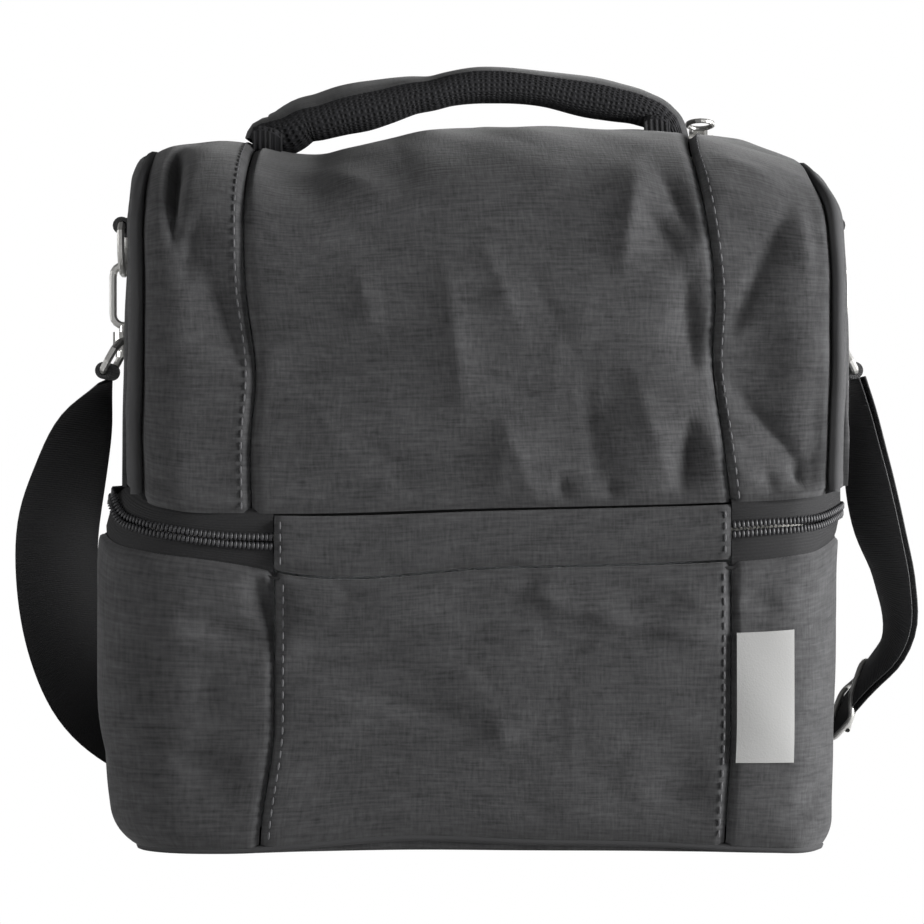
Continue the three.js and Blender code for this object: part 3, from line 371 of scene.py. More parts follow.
def sag_lower(point):
    """The lower compartment's soft shape: its near face sits to the right and its left end swells."""
    x, y, z = np.moveaxis(point, -1, 0)
    near = 1 - smooth(y, -62, 15)
    swell = curve(
        z, (0, -1), (8, -4), (20, -6.5), (33, -8.5), (52, -11), (80, -11.5), (100, -10.5), (112, -6.5),
        (122, -3), (127, 0),
    )
    right = curve(z, (0, 0), (15, 0.4), (40, 1.2), (60, 2.4), (98, 3), (113, 4.8), (130, 5.5))
    left_end = smooth(-x, 86, 130)
    right_end = smooth(x, 104, 130)
    shift = curve(x, (-90, 9.5), (0, 8.5), (84, 7)) * near * (1 - left_end) * (1 - right_end)
    shift += (swell * left_end + right * right_end) * (1 - smooth(y, 10, 80))
    foot = 1 - smooth(z, 0, 50)
    shift -= foot * near * (5.5 * np.exp(-(((x + 84) / 30) ** 2)) + 2 * np.exp(-(((x - 84) / 30) ** 2)))
    wave = curve(x, (-130, 0), (-90, 0), (-37, 5), (12, 3.5), (60, 2.5), (90, 0.8), (110, 0), (130, 0))
    rise = wave * near * (1 - smooth(z, 0, 45)) * smooth(-y, 60, 80)
    rise += waist_lift(x, y, z) * smooth(z, 55, 102)
    belly = 2.6 * near * np.clip(1 - (x / 126) ** 2, 0, 1) * np.sin(np.pi * np.clip(z / 104, 0, 1))
    turn = near * (0.0078 * np.clip(x - 86, 0, None) ** 2 + 0.0035 * np.clip(-x - 90, 0, None) ** 2)
    turn *= smooth(-y, 30, 80) * (0.3 + 0.7 * smooth(z, 0, 50))
    return np.stack([x + shift, y - belly + turn, z + rise], -1)


def lower(b, p, z, out=0.0):
    """The lower wall at the distance p round the plan and the height z, moved out by out."""
    p, z = np.broadcast_arrays(np.asarray(p, float), np.asarray(z, float))
    at, normal = plan(b, p)
    slack = 1 + 0.3 * smooth(-at[..., 0], 70, 126)
    roll = b.base_roll * slack
    under = np.clip((roll - z) / roll, 0, 1)
    inset = b.base_inset * slack * (1 - np.sqrt(1 - under**2))
    point = at + normal * np.asarray(out - inset)[..., None]
    point[..., 2] += z
    point = sag_lower(point)
    place = point[..., 0], point[..., 2]
    near = smooth(-normal[..., 1], 0.2, 0.7)
    press = FOLD_GAIN * fold_height(LOWER_FOLDS, *place) * near
    press = LOWER_FOLD_LIMIT * np.tanh(press / LOWER_FOLD_LIMIT) + fold_height(LOWER_CREASES, *place) * near
    press += fold_height(FAR_FOLDS, np.mod(p, plan_length(b)), z) * (1 - near)
    calm = smooth(z, 2, 16) * (1 - smooth(z, 96, 104))
    return point + normal * ((press + ripple(p, z)) * calm)[..., None]


def edge_drop(radius, past):
    """How far a rounded edge has fallen at the distance past its start."""
    return radius - np.sqrt(np.clip(radius**2 - np.clip(past, 0, None) ** 2, 0, None))


def dome(b, x, q):
    """The upper part unsagged: q runs to 1 up the near wall, to 2 over the dome, to 3 down the far one."""
    half = b.depth / 2 - edge_drop(b.corner, np.abs(x) - (b.width / 2 - b.corner))
    crown = b.apex - edge_drop(b.dome_edge, np.abs(x) - (b.width / 2 - b.dome_edge))
    angle = np.pi * np.clip(q - 1, 0, 1)
    wall = np.minimum(np.clip(q, 0, 1), np.clip(3 - q, 0, 1))
    z = b.upper_base + (b.spring - b.upper_base) * wall + (crown - b.spring) * np.sin(angle)
    return np.stack([x + 0 * q, -half * np.cos(angle), z], -1)


def dome_normal(b, x, q):
    """Outward normal of the dome, from small steps along it and across it."""
    step = 0.02
    inside = np.clip(x, -b.width / 2 + 0.3, b.width / 2 - 0.3)
    across = dome(b, inside + 0.2, q) - dome(b, inside - 0.2, q)
    along = dome(b, inside, np.clip(q + step, 0, 3)) - dome(b, inside, np.clip(q - step, 0, 3))
    return unit(np.cross(across, along))


def dome_runs(b):
    """Places q along the dome's line and the distance of each from the near lower edge."""
    q = np.linspace(0, 3, 901)
    return q, run_along(dome(b, np.zeros_like(q), q))


def dome_run(b, q):
    """Distance along the dome's line at q."""
    places, runs = dome_runs(b)
    return np.interp(q, places, runs)


def dome_place(b, run):
    """The q at a distance along the dome's line."""
    places, runs = dome_runs(b)
    return np.interp(run, runs, places)


def dome_depth(b, y):
    """The q on top of the dome at the depth y."""
    return 1 + np.arccos(-y / (b.depth / 2)) / np.pi


def sag_upper(point):
    """The upper compartment's soft shape: lowered shoulders, leaning seams and a swollen right end."""
    x, y, z = np.moveaxis(point, -1, 0)
    near = 1 - smooth(y, -72, 30)
    left_seam = curve(z, (124, 1), (150, 0.8), (176, 2.5), (205, -1), (235, -1.8), (272, -1))
    right_seam = curve(z, (124, 7), (150, 4), (180, 0.6), (202, 1.5), (235, -2), (258, -6), (272, -9))
    share = smooth(x, -84, 84)
    fade = 1 - smooth(np.abs(x), 84, 122)
    shift = (left_seam * (1 - share) + right_seam * share) * near * fade
    right = curve(
        z, (124, 4), (150, 5), (180, 5.2), (210, 5.2), (228, 4.6), (240, 3.8), (250, 2.6), (258, 1.1),
        (266, 0),
    )
    shift += right * smooth(x, 86, 122) * (1 - smooth(y, -60, -30))
    crest = curve(
        x, (-130, -6), (-126, -8.5), (-122, -9.5), (-116, -7.8), (-108, -6.8), (-97, -5.7), (-88, -6.5),
        (-80, -8.5), (-69, -11), (-58, -11), (-50, -8.8), (-43, -7.3), (-31, -5), (-17, -2), (0, -1.2),
        (25, 0), (45, -1.5), (67, -2.5), (80, -3), (92, -4.2), (100, -6), (113, -10), (122, -12.8),
        (126, -13), (130, -10),
    )
    behind = smooth(y, 8, 34)
    keep = behind * smooth(x, 45, 78) * (1 - smooth(x, 102, 116))
    keep = np.maximum(keep, 0.5 * behind * (1 - smooth(x, -70, 0)))
    rise = crest * smooth(z, 196, 262) * (1 - keep) * (1 - smooth(y, 52, 80))
    rise += waist_lift(x, y, z) * (1 - smooth(z, 124, 190))
    belly = 2.2 * (1 - smooth(y, -80, -20)) * np.clip(1 - (x / 118) ** 2, 0, 1)
    belly *= smooth(z, 124, 150) * (1 - smooth(z, 190, 240))
    return np.stack([x + shift, y - belly, z + rise], -1)


def upper(b, x, q, out=0.0):
    """The upper compartment's outside at the station x and the place q, moved out by out."""
    x, q = np.broadcast_arrays(np.asarray(x, float), np.asarray(q, float))
    normal = dome_normal(b, x, q)
    point = sag_upper(dome(b, x, q) + normal * np.asarray(out)[..., None])
    place = point[..., 0], point[..., 2]
    side = np.abs(x)
    near = 1 - smooth(q, 1.15, 1.4)
    run = dome_run(b, q)
    press = FOLD_GAIN * fold_height(UPPER_FOLDS, *place) * near * (1 - 0.85 * smooth(side, 112, 121))
    press = UPPER_FOLD_LIMIT * np.tanh(press / UPPER_FOLD_LIMIT) + fold_height(UPPER_CREASES, *place) * near
    press += facet_depth(UPPER_FACETS, *place) * near * (1 - smooth(side, 118, 123))
    press += fold_height(CROWN_FOLDS, x, run) * (1 - near)
    calm = smooth(q, 0.01, 0.06) * (1 - smooth(q, 2.95, 3))
    return point + normal * ((press + ripple(x + 40, run)) * calm)[..., None]


def end_cap(b, sign, q, r, out=0.0, hang=0.0):
    """A flat end of the upper compartment: r is 0 at its lower edge, lowered by hang, and 1 at the dome."""
    edge = dome(b, sign * b.width / 2, q)
    turn = np.pi * dome_run(b, q) / dome_run(b, 3)
    across = -(b.depth / 2 - b.corner) * np.cos(turn)
    foot = np.stack([edge[..., 0], across, b.upper_base - hang * (1 - smooth(across, 10, 60))], -1)
    point = foot + (edge - foot) * r
    height = fold_height(END_FOLDS[sign], point[..., 1], point[..., 2])
    calm = np.sin(np.pi * r) * (1 - smooth(point[..., 2], 195, 228))
    point[..., 0] += sign * (out + (2.0 + height) * calm)
    return sag_upper(point)


def stations(low, high, step, edge=0.6):
    """Places from low to high about a step apart, closer at both ends, where a seam rolls the cloth in."""
    near = edge * np.array([0, 0.6, 1.4, 2.6, 4.4])
    count = max(2, int((high - low - 9 * edge) / step) + 1)
    return np.r_[low + near, np.linspace(low + 5.8 * edge, high - 5.8 * edge, count), high - near[::-1]]


def grid_faces(rows, columns, wrap=False, loop=False):
    """Quads of a grid of points; wrap closes it across its columns, and loop along its rows."""
    index = np.arange(rows * columns).reshape(rows, columns)
    if wrap:
        index = np.concatenate([index, index[:, :1]], 1)
    if loop:
        index = np.concatenate([index, index[:1]])
    return np.stack([index[:-1, :-1], index[1:, :-1], index[1:, 1:], index[:-1, 1:]], -1).reshape(-1, 4)


def add_mesh(name, points, faces, material, uv=None, sharp=0.9):
    """A mesh object from points in millimetres, smooth except at edges sharper than the angle sharp."""
    mesh = bpy.data.meshes.new(name)
    mesh.from_pydata((np.asarray(points).reshape(-1, 3) * MM).tolist(), [], faces)
    if uv is not None:
        corner = np.zeros(len(mesh.loops), np.int32)
        mesh.loops.foreach_get("vertex_index", corner)
        layer = mesh.uv_layers.new(name="cloth")
        layer.data.foreach_set("uv", (np.asarray(uv).reshape(-1, 2)[corner] * MM).astype(np.float32).ravel())
    mesh.update()
    mesh.set_sharp_from_angle(angle=sharp)
    mesh.materials.append(material)
    piece = bpy.data.objects.new(name, mesh)
    bpy.context.collection.objects.link(piece)
    return piece


def add_piece(name, points, faces, look, uv=None, sharp=0.9):
    """A piece of the bag with its look."""
    faces = faces.tolist() if isinstance(faces, np.ndarray) else faces
    piece = add_mesh(f"{name}_look", points, faces, finish(look), uv, sharp)
    return piece


def settle(piece, body, *others):
    """Puts a piece on its body; it stands for the solid of its name, if there is one, and for others."""
    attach(piece, body)
    own = piece.name.removesuffix("_look")
    solids = [own, *others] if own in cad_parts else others
    if solids:
        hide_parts(*solids)
    return piece


def sheet(name, outer, inner, uv, look, flip=False):
    """A sheet with thickness: the outer grid, the inner grid turned round, and the rim that joins them."""
    rows, columns = outer.shape[:2]
    count = rows * columns
    face = grid_faces(rows, columns)
    index = np.arange(count).reshape(rows, columns)
    rim = np.r_[index[:-1, 0], index[-1, :-1], index[:0:-1, -1], index[0, :0:-1]]
    after = np.roll(rim, -1)
    sides = np.stack([rim, after, after + count, rim + count], -1)
    faces = np.concatenate([face, face[:, ::-1] + count, sides[:, ::-1]])
    if flip:
        faces = faces[:, ::-1]
    points = np.concatenate([outer.reshape(-1, 3), inner.reshape(-1, 3)])
    return add_piece(name, points, faces, look, np.concatenate([uv.reshape(-1, 2)] * 2))


def cloth_panel(name, surface, a, c, rolls, thick, look, rise=0.0, run=None, flip=False):
    """A panel over the places a and c of a surface, rise above it: its edges roll in by Gaussians.

    The rolls are the depths at the first and last a, then at the first and last c. The function run gives
    the distances of places c that aren't distances themselves.
    """
    across, along = np.meshgrid(a, c, indexing="ij")
    far = run(along) if run else along
    out = np.full_like(across, rise)
    gaps = (across - a[0], a[-1] - across, far - far[:, :1], far[:, -1:] - far)
    for gap, depth in zip(gaps, rolls):
        out -= depth * np.exp(-((gap / ROLL_REACH) ** 2))
    uv = np.stack([across, far], -1)
    return sheet(name, surface(across, along, out), surface(across, along, out - thick), uv, look, flip)


def dome_cloth(b, name, x, places, rolls, thick, look, rise=0.0):
    """A panel over stations x and places of the upper compartment."""
    run = partial(dome_run, b)
    return cloth_panel(name, partial(upper, b), x, places, rolls, thick, look, rise, run, flip=True)


def loft(name, rings, look, uv=None, closed=False):
    """A skin over rings of points, with its two ends filled, or joined to each other if closed."""
    rows, columns = rings.shape[:2]
    faces = grid_faces(rows, columns, wrap=True, loop=closed).tolist()
    if not closed:
        faces += [list(range(columns)), list(range(rows * columns - 1, (rows - 1) * columns - 1, -1))]
    return add_piece(name, rings, faces, look, uv)


def frames(line, normal):
    """Unit vectors along a line, across it and out of it, kept square to the line."""
    along = unit(np.gradient(line, axis=0))
    across = unit(np.cross(normal, along))
    return along, across, np.cross(along, across)


def tube_rings(line, normal, radius, sides=10):
    """Circles of a radius round each point of a line."""
    _, across, out = frames(line, normal)
    turn = np.linspace(0, 2 * np.pi, sides, endpoint=False)
    ring = across[:, None] * np.cos(turn)[:, None] + out[:, None] * np.sin(turn)[:, None]
    return line[:, None] + radius * ring


def equal_steps(line, normal, pitch):
    """Points and normals at equal distances along a line."""
    runs = run_along(line)
    count = max(2, int(runs[-1] / pitch))
    at = (np.arange(count) + 0.5) * runs[-1] / count
    return at_runs(at, runs, line), unit(at_runs(at, runs, normal))


def pill():
    """Points and triangles of a small rounded bead that reaches 1 along each axis: three rings of six."""
    turn = np.linspace(0, 2 * np.pi, 6, endpoint=False)
    sizes = ((-0.72, 0.72), (0, 1), (0.72, 0.72))
    rings = [(x, r * np.cos(t), r * np.sin(t)) for x, r in sizes for t in turn]
    pairs = [(i, (i + 1) % 6) for i in range(6)]
    faces = [(0, 1 + j, 1 + i) for i, j in pairs] + [(19, 13 + i, 13 + j) for i, j in pairs]
    for k in (1, 7):
        for i, j in pairs:
            faces += [(k + i, k + j, k + 6 + j), (k + i, k + 6 + j, k + 6 + i)]
    return np.array([(-1, 0, 0), *rings, (1, 0, 0)], float), np.array(faces)


def beads(name, lines, pitch, size, look):
    """Equal beads along lines of points and normals: size is half the length, width and height."""
    shape, faces = pill()
    parts = []
    for line, normal in lines:
        at, out = equal_steps(line, normal, pitch)
        axes = frames(at, out)
        parts.append(at[:, None] + sum(shape[:, i, None] * size[i] * axes[i][:, None] for i in range(3)))
    points = np.concatenate(parts)
    index = faces[None] + len(shape) * np.arange(len(points))[:, None, None]
    return add_piece(name, points, index.reshape(-1, 3), look, sharp=3.2)


def path_on(surface, a, c, out):
    """A line over a surface with its outward normals."""
    line = surface(a, c, out)
    return line, unit(surface(a, c, out + 1.0) - line)


def topstitch(b, name, surface, columns, places, space=1.1, lift=0.15, height=0.32):
    """Rows of stitches up a surface at the given columns, with a space between two stitches."""
    lines = [path_on(surface, at, places, lift) for at in columns]
    return beads(name, lines, b.stitch + space, (b.stitch / 2, 0.42, height), "thread")


class Nodes:
    """Adds shader nodes to a material, one call for each."""

    def __init__(self, name):
        self.material = bpy.data.materials.new(name)
        self.material.use_nodes = True
        self.tree = self.material.node_tree
        self.shader = next(n for n in self.tree.nodes if n.type == "BSDF_PRINCIPLED")

    def add(self, kind, inputs=None, **settings):
        """A node of a kind with its settings; an input is a plain value or another node's output."""
        node = self.tree.nodes.new(kind)
        for key, value in settings.items():
            setattr(node, key, value)
        self.feed(node, inputs or {})
        return node

    def feed(self, node, inputs):
        """Sets or links a node's inputs."""
        for key, value in inputs.items():
            if isinstance(value, bpy.types.NodeSocket):
                self.tree.links.new(value, node.inputs[key])
            else:
                node.inputs[key].default_value = value

    def coat(self, shade, rough, level, **more):
        """Sets the shader's colour, roughness, gloss and any other inputs."""
        inputs = {"Base Color": shade, "Roughness": rough, "Specular IOR Level": level}
        self.feed(self.shader, inputs | {key.replace("_", " "): value for key, value in more.items()})

    def cloth_place(self, across, along):
        """The cloth's own coordinates, in metres, times a scale along each of its two yarns."""
        place = self.add("ShaderNodeUVMap", uv_map="cloth").outputs["UV"]
        return self.add("ShaderNodeMapping", {"Vector": place, "Scale": (across, along, 1)}).outputs["Vector"]

    def noise(self, vector, scale=1.0, detail=2.0):
        """A noise value at a place."""
        inputs = {"Vector": vector, "Scale": scale, "Detail": detail}
        return self.add("ShaderNodeTexNoise", inputs).outputs["Fac"]

    def maths(self, operation, a, c):
        """A sum, product or other step on two values."""
        return self.add("ShaderNodeMath", {0: a, 1: c}, operation=operation).outputs[0]

    def ramp(self, value, low, high):
        """A value stretched so that low becomes 0 and high becomes 1."""
        inputs = {"Value": value, "From Min": low, "From Max": high}
        return self.add("ShaderNodeMapRange", inputs).outputs["Result"]

    def mix(self, share, a, c):
        """Two colours mixed by a share."""
        node = self.add("ShaderNodeMix", {"Factor": share}, data_type="RGBA")
        self.feed(node, {6: a, 7: c})
        return node.outputs[2]

    def bump(self, height, distance):
        """A bump from a height, at its real depth in metres."""
        node = self.add("ShaderNodeBump", {"Height": height, "Distance": distance, "Strength": 1.0})
        self.feed(self.shader, {"Normal": node.outputs["Normal"]})


def rgba(values, factor=1.0):
    """A colour times a factor, with full cover."""
    return (*(v * factor for v in values), 1.0)


def heather_canvas(name, dark, light):
    """Heather canvas: light and dark yarns in both directions, matt, with a soft nap at grazing angles."""
    n = Nodes(name)
    # Weft, warp, specks and clouds: the scale along each yarn, the detail and the share.
    fibres = (
        (90, 1000, 3.0, 0.36), (1000, 130, 3.0, 0.24), (500, 500, 3.0, 0.18), (60, 110, 4.0, 0.22),
    )
    yarn = 0.0
    for across, along, detail, share in fibres:
        fibre = n.noise(n.cloth_place(across, along), detail=detail)
        yarn = n.maths("ADD", yarn, n.maths("MULTIPLY", fibre, share))
    shade = n.mix(n.ramp(yarn, 0.36, 0.64), rgba(dark), rgba(light))
    n.coat(shade, 0.92, 0.2, Sheen_Weight=0.12, Sheen_Roughness=0.5)
    n.bump(yarn, 0.0004)
    return n.material


def ribbed(name, shade, pitch, depth, rough):
    """Woven tape or webbing: fine ribs across it, and a mottle of lighter and darker fibre."""
    n = Nodes(name)
    # A wave texture's bands lie pi / 10 apart at the scale 1.
    inputs = {"Vector": n.cloth_place(1, 1), "Scale": 1 / pitch / 3.1831}
    wave = n.add("ShaderNodeTexWave", inputs, bands_direction="Y")
    fuzz = n.noise(n.cloth_place(1500, 1500))
    n.coat(n.mix(n.ramp(fuzz, 0.3, 0.7), rgba(shade, 0.78), rgba(shade, 1.25)), rough, 0.3)
    n.bump(n.maths("ADD", wave.outputs["Fac"], n.maths("MULTIPLY", fuzz, 0.6)), depth)
    return n.material


def plain(name, shade, rough, metallic=0.0, level=0.5, grain=0.0):
    """A plain finish with, if grain is above 0, a fine unevenness of that depth in metres."""
    n = Nodes(name)
    n.coat(rgba(shade), rough, level, Metallic=metallic)
    if grain > 0:
        place = n.add("ShaderNodeTexCoord").outputs["Object"]
        n.bump(n.noise(place, 1400.0), grain)
    return n.material


def spacer_mesh(name, shade):
    """Spacer mesh: a net of small round holes over black foam."""
    n = Nodes(name)
    inputs = {"Vector": n.cloth_place(480, 480), "Scale": 1.0, "Randomness": 0.25}
    cells = n.add("ShaderNodeTexVoronoi", inputs)
    hole = n.ramp(cells.outputs["Distance"], 0.15, 0.45)
    n.coat(n.mix(hole, rgba(shade, 0.55), rgba(shade, 1.3)), 0.85, 0.25)
    n.bump(hole, 0.0006)
    return n.material


def finish(look):
    """The material of a look, made on first use: its name, its maker and what the maker is given."""
    colours = bpy.context.scene.bag_colours
    makers = {
        "heather_canvas": ("heather canvas", heather_canvas, colours.heather_dark, colours.heather_light),
        "webbing": ("polyester webbing", ribbed, colours.webbing, 0.0009, 0.00012, 0.7),
        "zip_tape": ("woven zip tape", ribbed, colours.tape, 0.0011, 0.00006, 0.85),
        "zip_coil": ("nylon coil", plain, colours.coil, 0.5, 0.0, 0.35),
        "thread": ("polyester thread", plain, colours.thread, 0.7),
        "nickel": ("nickel plate", plain, colours.nickel, 0.28, 0.7),
        "label": ("damask label", plain, colours.label, 0.75, 0.0, 0.3, 0.00008),
        "spacer_mesh": ("spacer mesh", spacer_mesh, colours.mesh),
        "liner": ("wiped vinyl liner", plain, colours.liner, 0.42, 0.0, 0.5, 0.0004),
        "piping": ("canvas piping", ribbed, colours.piping, 0.0009, 0.0002, 0.85),
    }
    name, make, *values = makers[look]
    return bpy.data.materials.get(name) or make(name, *values)


class BAG_OT_lower(bpy.types.Operator):
    """Builds the lower compartment's cloth, base, piping, label and topstitching"""

    bl_idname = "bag.lower"
    bl_label = "Lower Compartment"

    def execute(self, context):
        b = millimetres(context)
        wall = partial(lower, b)
        total = plan_length(b)
        bend = np.pi / 2 * b.corner
        back = b.width / 2 - b.corner + bend + b.depth - 2 * b.corner + bend * 0.5
        hem = b.lower_top - np.array([2.6, 1.5, 0.7, 0])
        heights = np.r_[np.linspace(0.4, 12, 9), np.linspace(13.5, b.lower_top - 4, 60), hem]
        rolls = (1.9, 1.9, 0, 1.6)
        panels = (
            ("lower_centre_panel", -b.seam, b.seam, 1.5),
            ("lower_right_panel", b.seam, back, 1.7),
            ("lower_back_panel", back, total - back, 2.5),
            ("lower_left_panel", total - back, total - b.seam, 1.7),
        )
        for name, start, end, step in panels:
            around = stations(start + SEAM_GAP, end - SEAM_GAP, step)
            settle(cloth_panel(name, wall, around, heights, rolls, b.cloth, "heather_canvas"), "lower")
        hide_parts("lower_foam_wrap")

        p = np.linspace(0, total, 260, endpoint=False)
        edge = lower(b, p, 0.6, -0.4)
        # The base's rings from its edge to its middle: their share of the edge's width and of its height.
        share = np.array([1, 0.985, 0.9, 0.7, 0.4, 0.05])
        level = np.array([1, 0.55, 0.2, 0.05, 0, 0])
        floor = edge * share[:, None, None]
        floor[..., 2] = edge[:, 2] * level[:, None]
        rings = np.concatenate([floor, floor[::-1] + np.array([0, 0, b.cloth])])
        base = loft("base_panel", rings, "heather_canvas", rings[..., :2], closed=True)
        settle(base, "lower", "base_board", "lower_foam_base")

        line, normal = path_on(wall, p, 2.0, -0.9)
        settle(loft("base_piping", tube_rings(line, normal, 1.5, 8), "piping", closed=True), "lower")

        across = np.linspace(*LABEL_AROUND, 22)
        height = np.linspace(*LABEL_HEIGHT, 40)
        settle(cloth_panel("label", wall, across, height, (), 0.8, "label", rise=0.9), "lower")

        columns = (-b.seam + 3.2, b.seam - 2.6, back + 3, total - back - 3)
        rise = np.linspace(5, b.lower_top - 3, 120)
        settle(topstitch(b, "lower_topstitch", wall, columns, rise), "lower")
        return {"FINISHED"}


class BAG_OT_waist(bpy.types.Operator):
    """Builds the hinge band and the waist zip with its two tapes and coils"""

    bl_idname = "bag.waist"
    bl_label = "Waist Zip and Hinge Band"

    def execute(self, context):
        b = millimetres(context)
        wall = partial(lower, b)
        total = plan_length(b)
        self.band(b)
        p = np.linspace(b.seam + 0.4, total - b.seam - 0.4, 330)
        # Each tape's rows from its coil to its flange: their heights and how far out they lie.
        sides = (
            ("lower", -1, (112.4, 108, 104, 100.4, 100.2, 100.2), (-0.9, -1.1, -1.3, -2.4, -6, -9)),
            ("upper", 1, (113.6, 118, 122, 126, 126.2, 125.8), (-0.9, -1.1, -1.3, -2.4, -5, -8)),
        )
        for side, sign, z, out in sides:
            around, height = np.meshgrid(p, z, indexing="ij")
            depth = np.broadcast_to(out, around.shape)
            width = np.cumsum(np.hypot(np.gradient(z), np.gradient(out)))
            uv = np.stack([around, np.broadcast_to(width, around.shape)], -1)
            face, under = wall(around, height, depth), wall(around, height, depth - 0.8)
            settle(sheet(f"waist_zip_tape_{side}", face, under, uv, "zip_tape", sign > 0), side)
            row = path_on(wall, p, b.waist + 1.75 * sign, 0.1)
            settle(beads(f"waist_zip_coil_{side}", [row], b.tooth_pitch, (0.7, 1.6, 0.6), "zip_coil"), side)
        around, depth = np.meshgrid(np.linspace(0, total, 330), (-1.2, -5, -8), indexing="ij")
        face, under = (wall(around, b.lower_top - drop, depth) for drop in (1.6, 2.6))
        settle(sheet("lower_rim", face, under, np.stack([around, depth], -1), "zip_tape"), "lower")
        return {"FINISHED"}

    def band(self, b):
        """The sewn band that joins the compartments: it swells between its edges by half a sine."""

        def swell(a, z, out):
            return lower(b, a, z, out + 0.4 + 0.9 * np.sin(np.pi * np.clip((z - 102) / 22, 0, 1)))

        across = stations(-b.seam, b.seam, 2.0)
        edge = np.array([0.9, 1.5, 2.6])
        up = np.r_[b.lower_top + edge, np.linspace(106, 120, 9), b.upper_base - edge[::-1]]
        band = cloth_panel("hinge_band", swell, across, up, (1.0, 1.0, 1.8, 1.8), b.cloth, "heather_canvas")
        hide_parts("hinge_band")
        rise = np.linspace(b.lower_top + 2.4, b.upper_base - 2.4, 30)
        columns = (-b.seam + 2.2, b.seam - 2.2)
        stitches = topstitch(b, "band_topstitch", swell, columns, rise, space=0.6, lift=0.1, height=0.3)
        for piece in (band, stitches):
            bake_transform(piece)


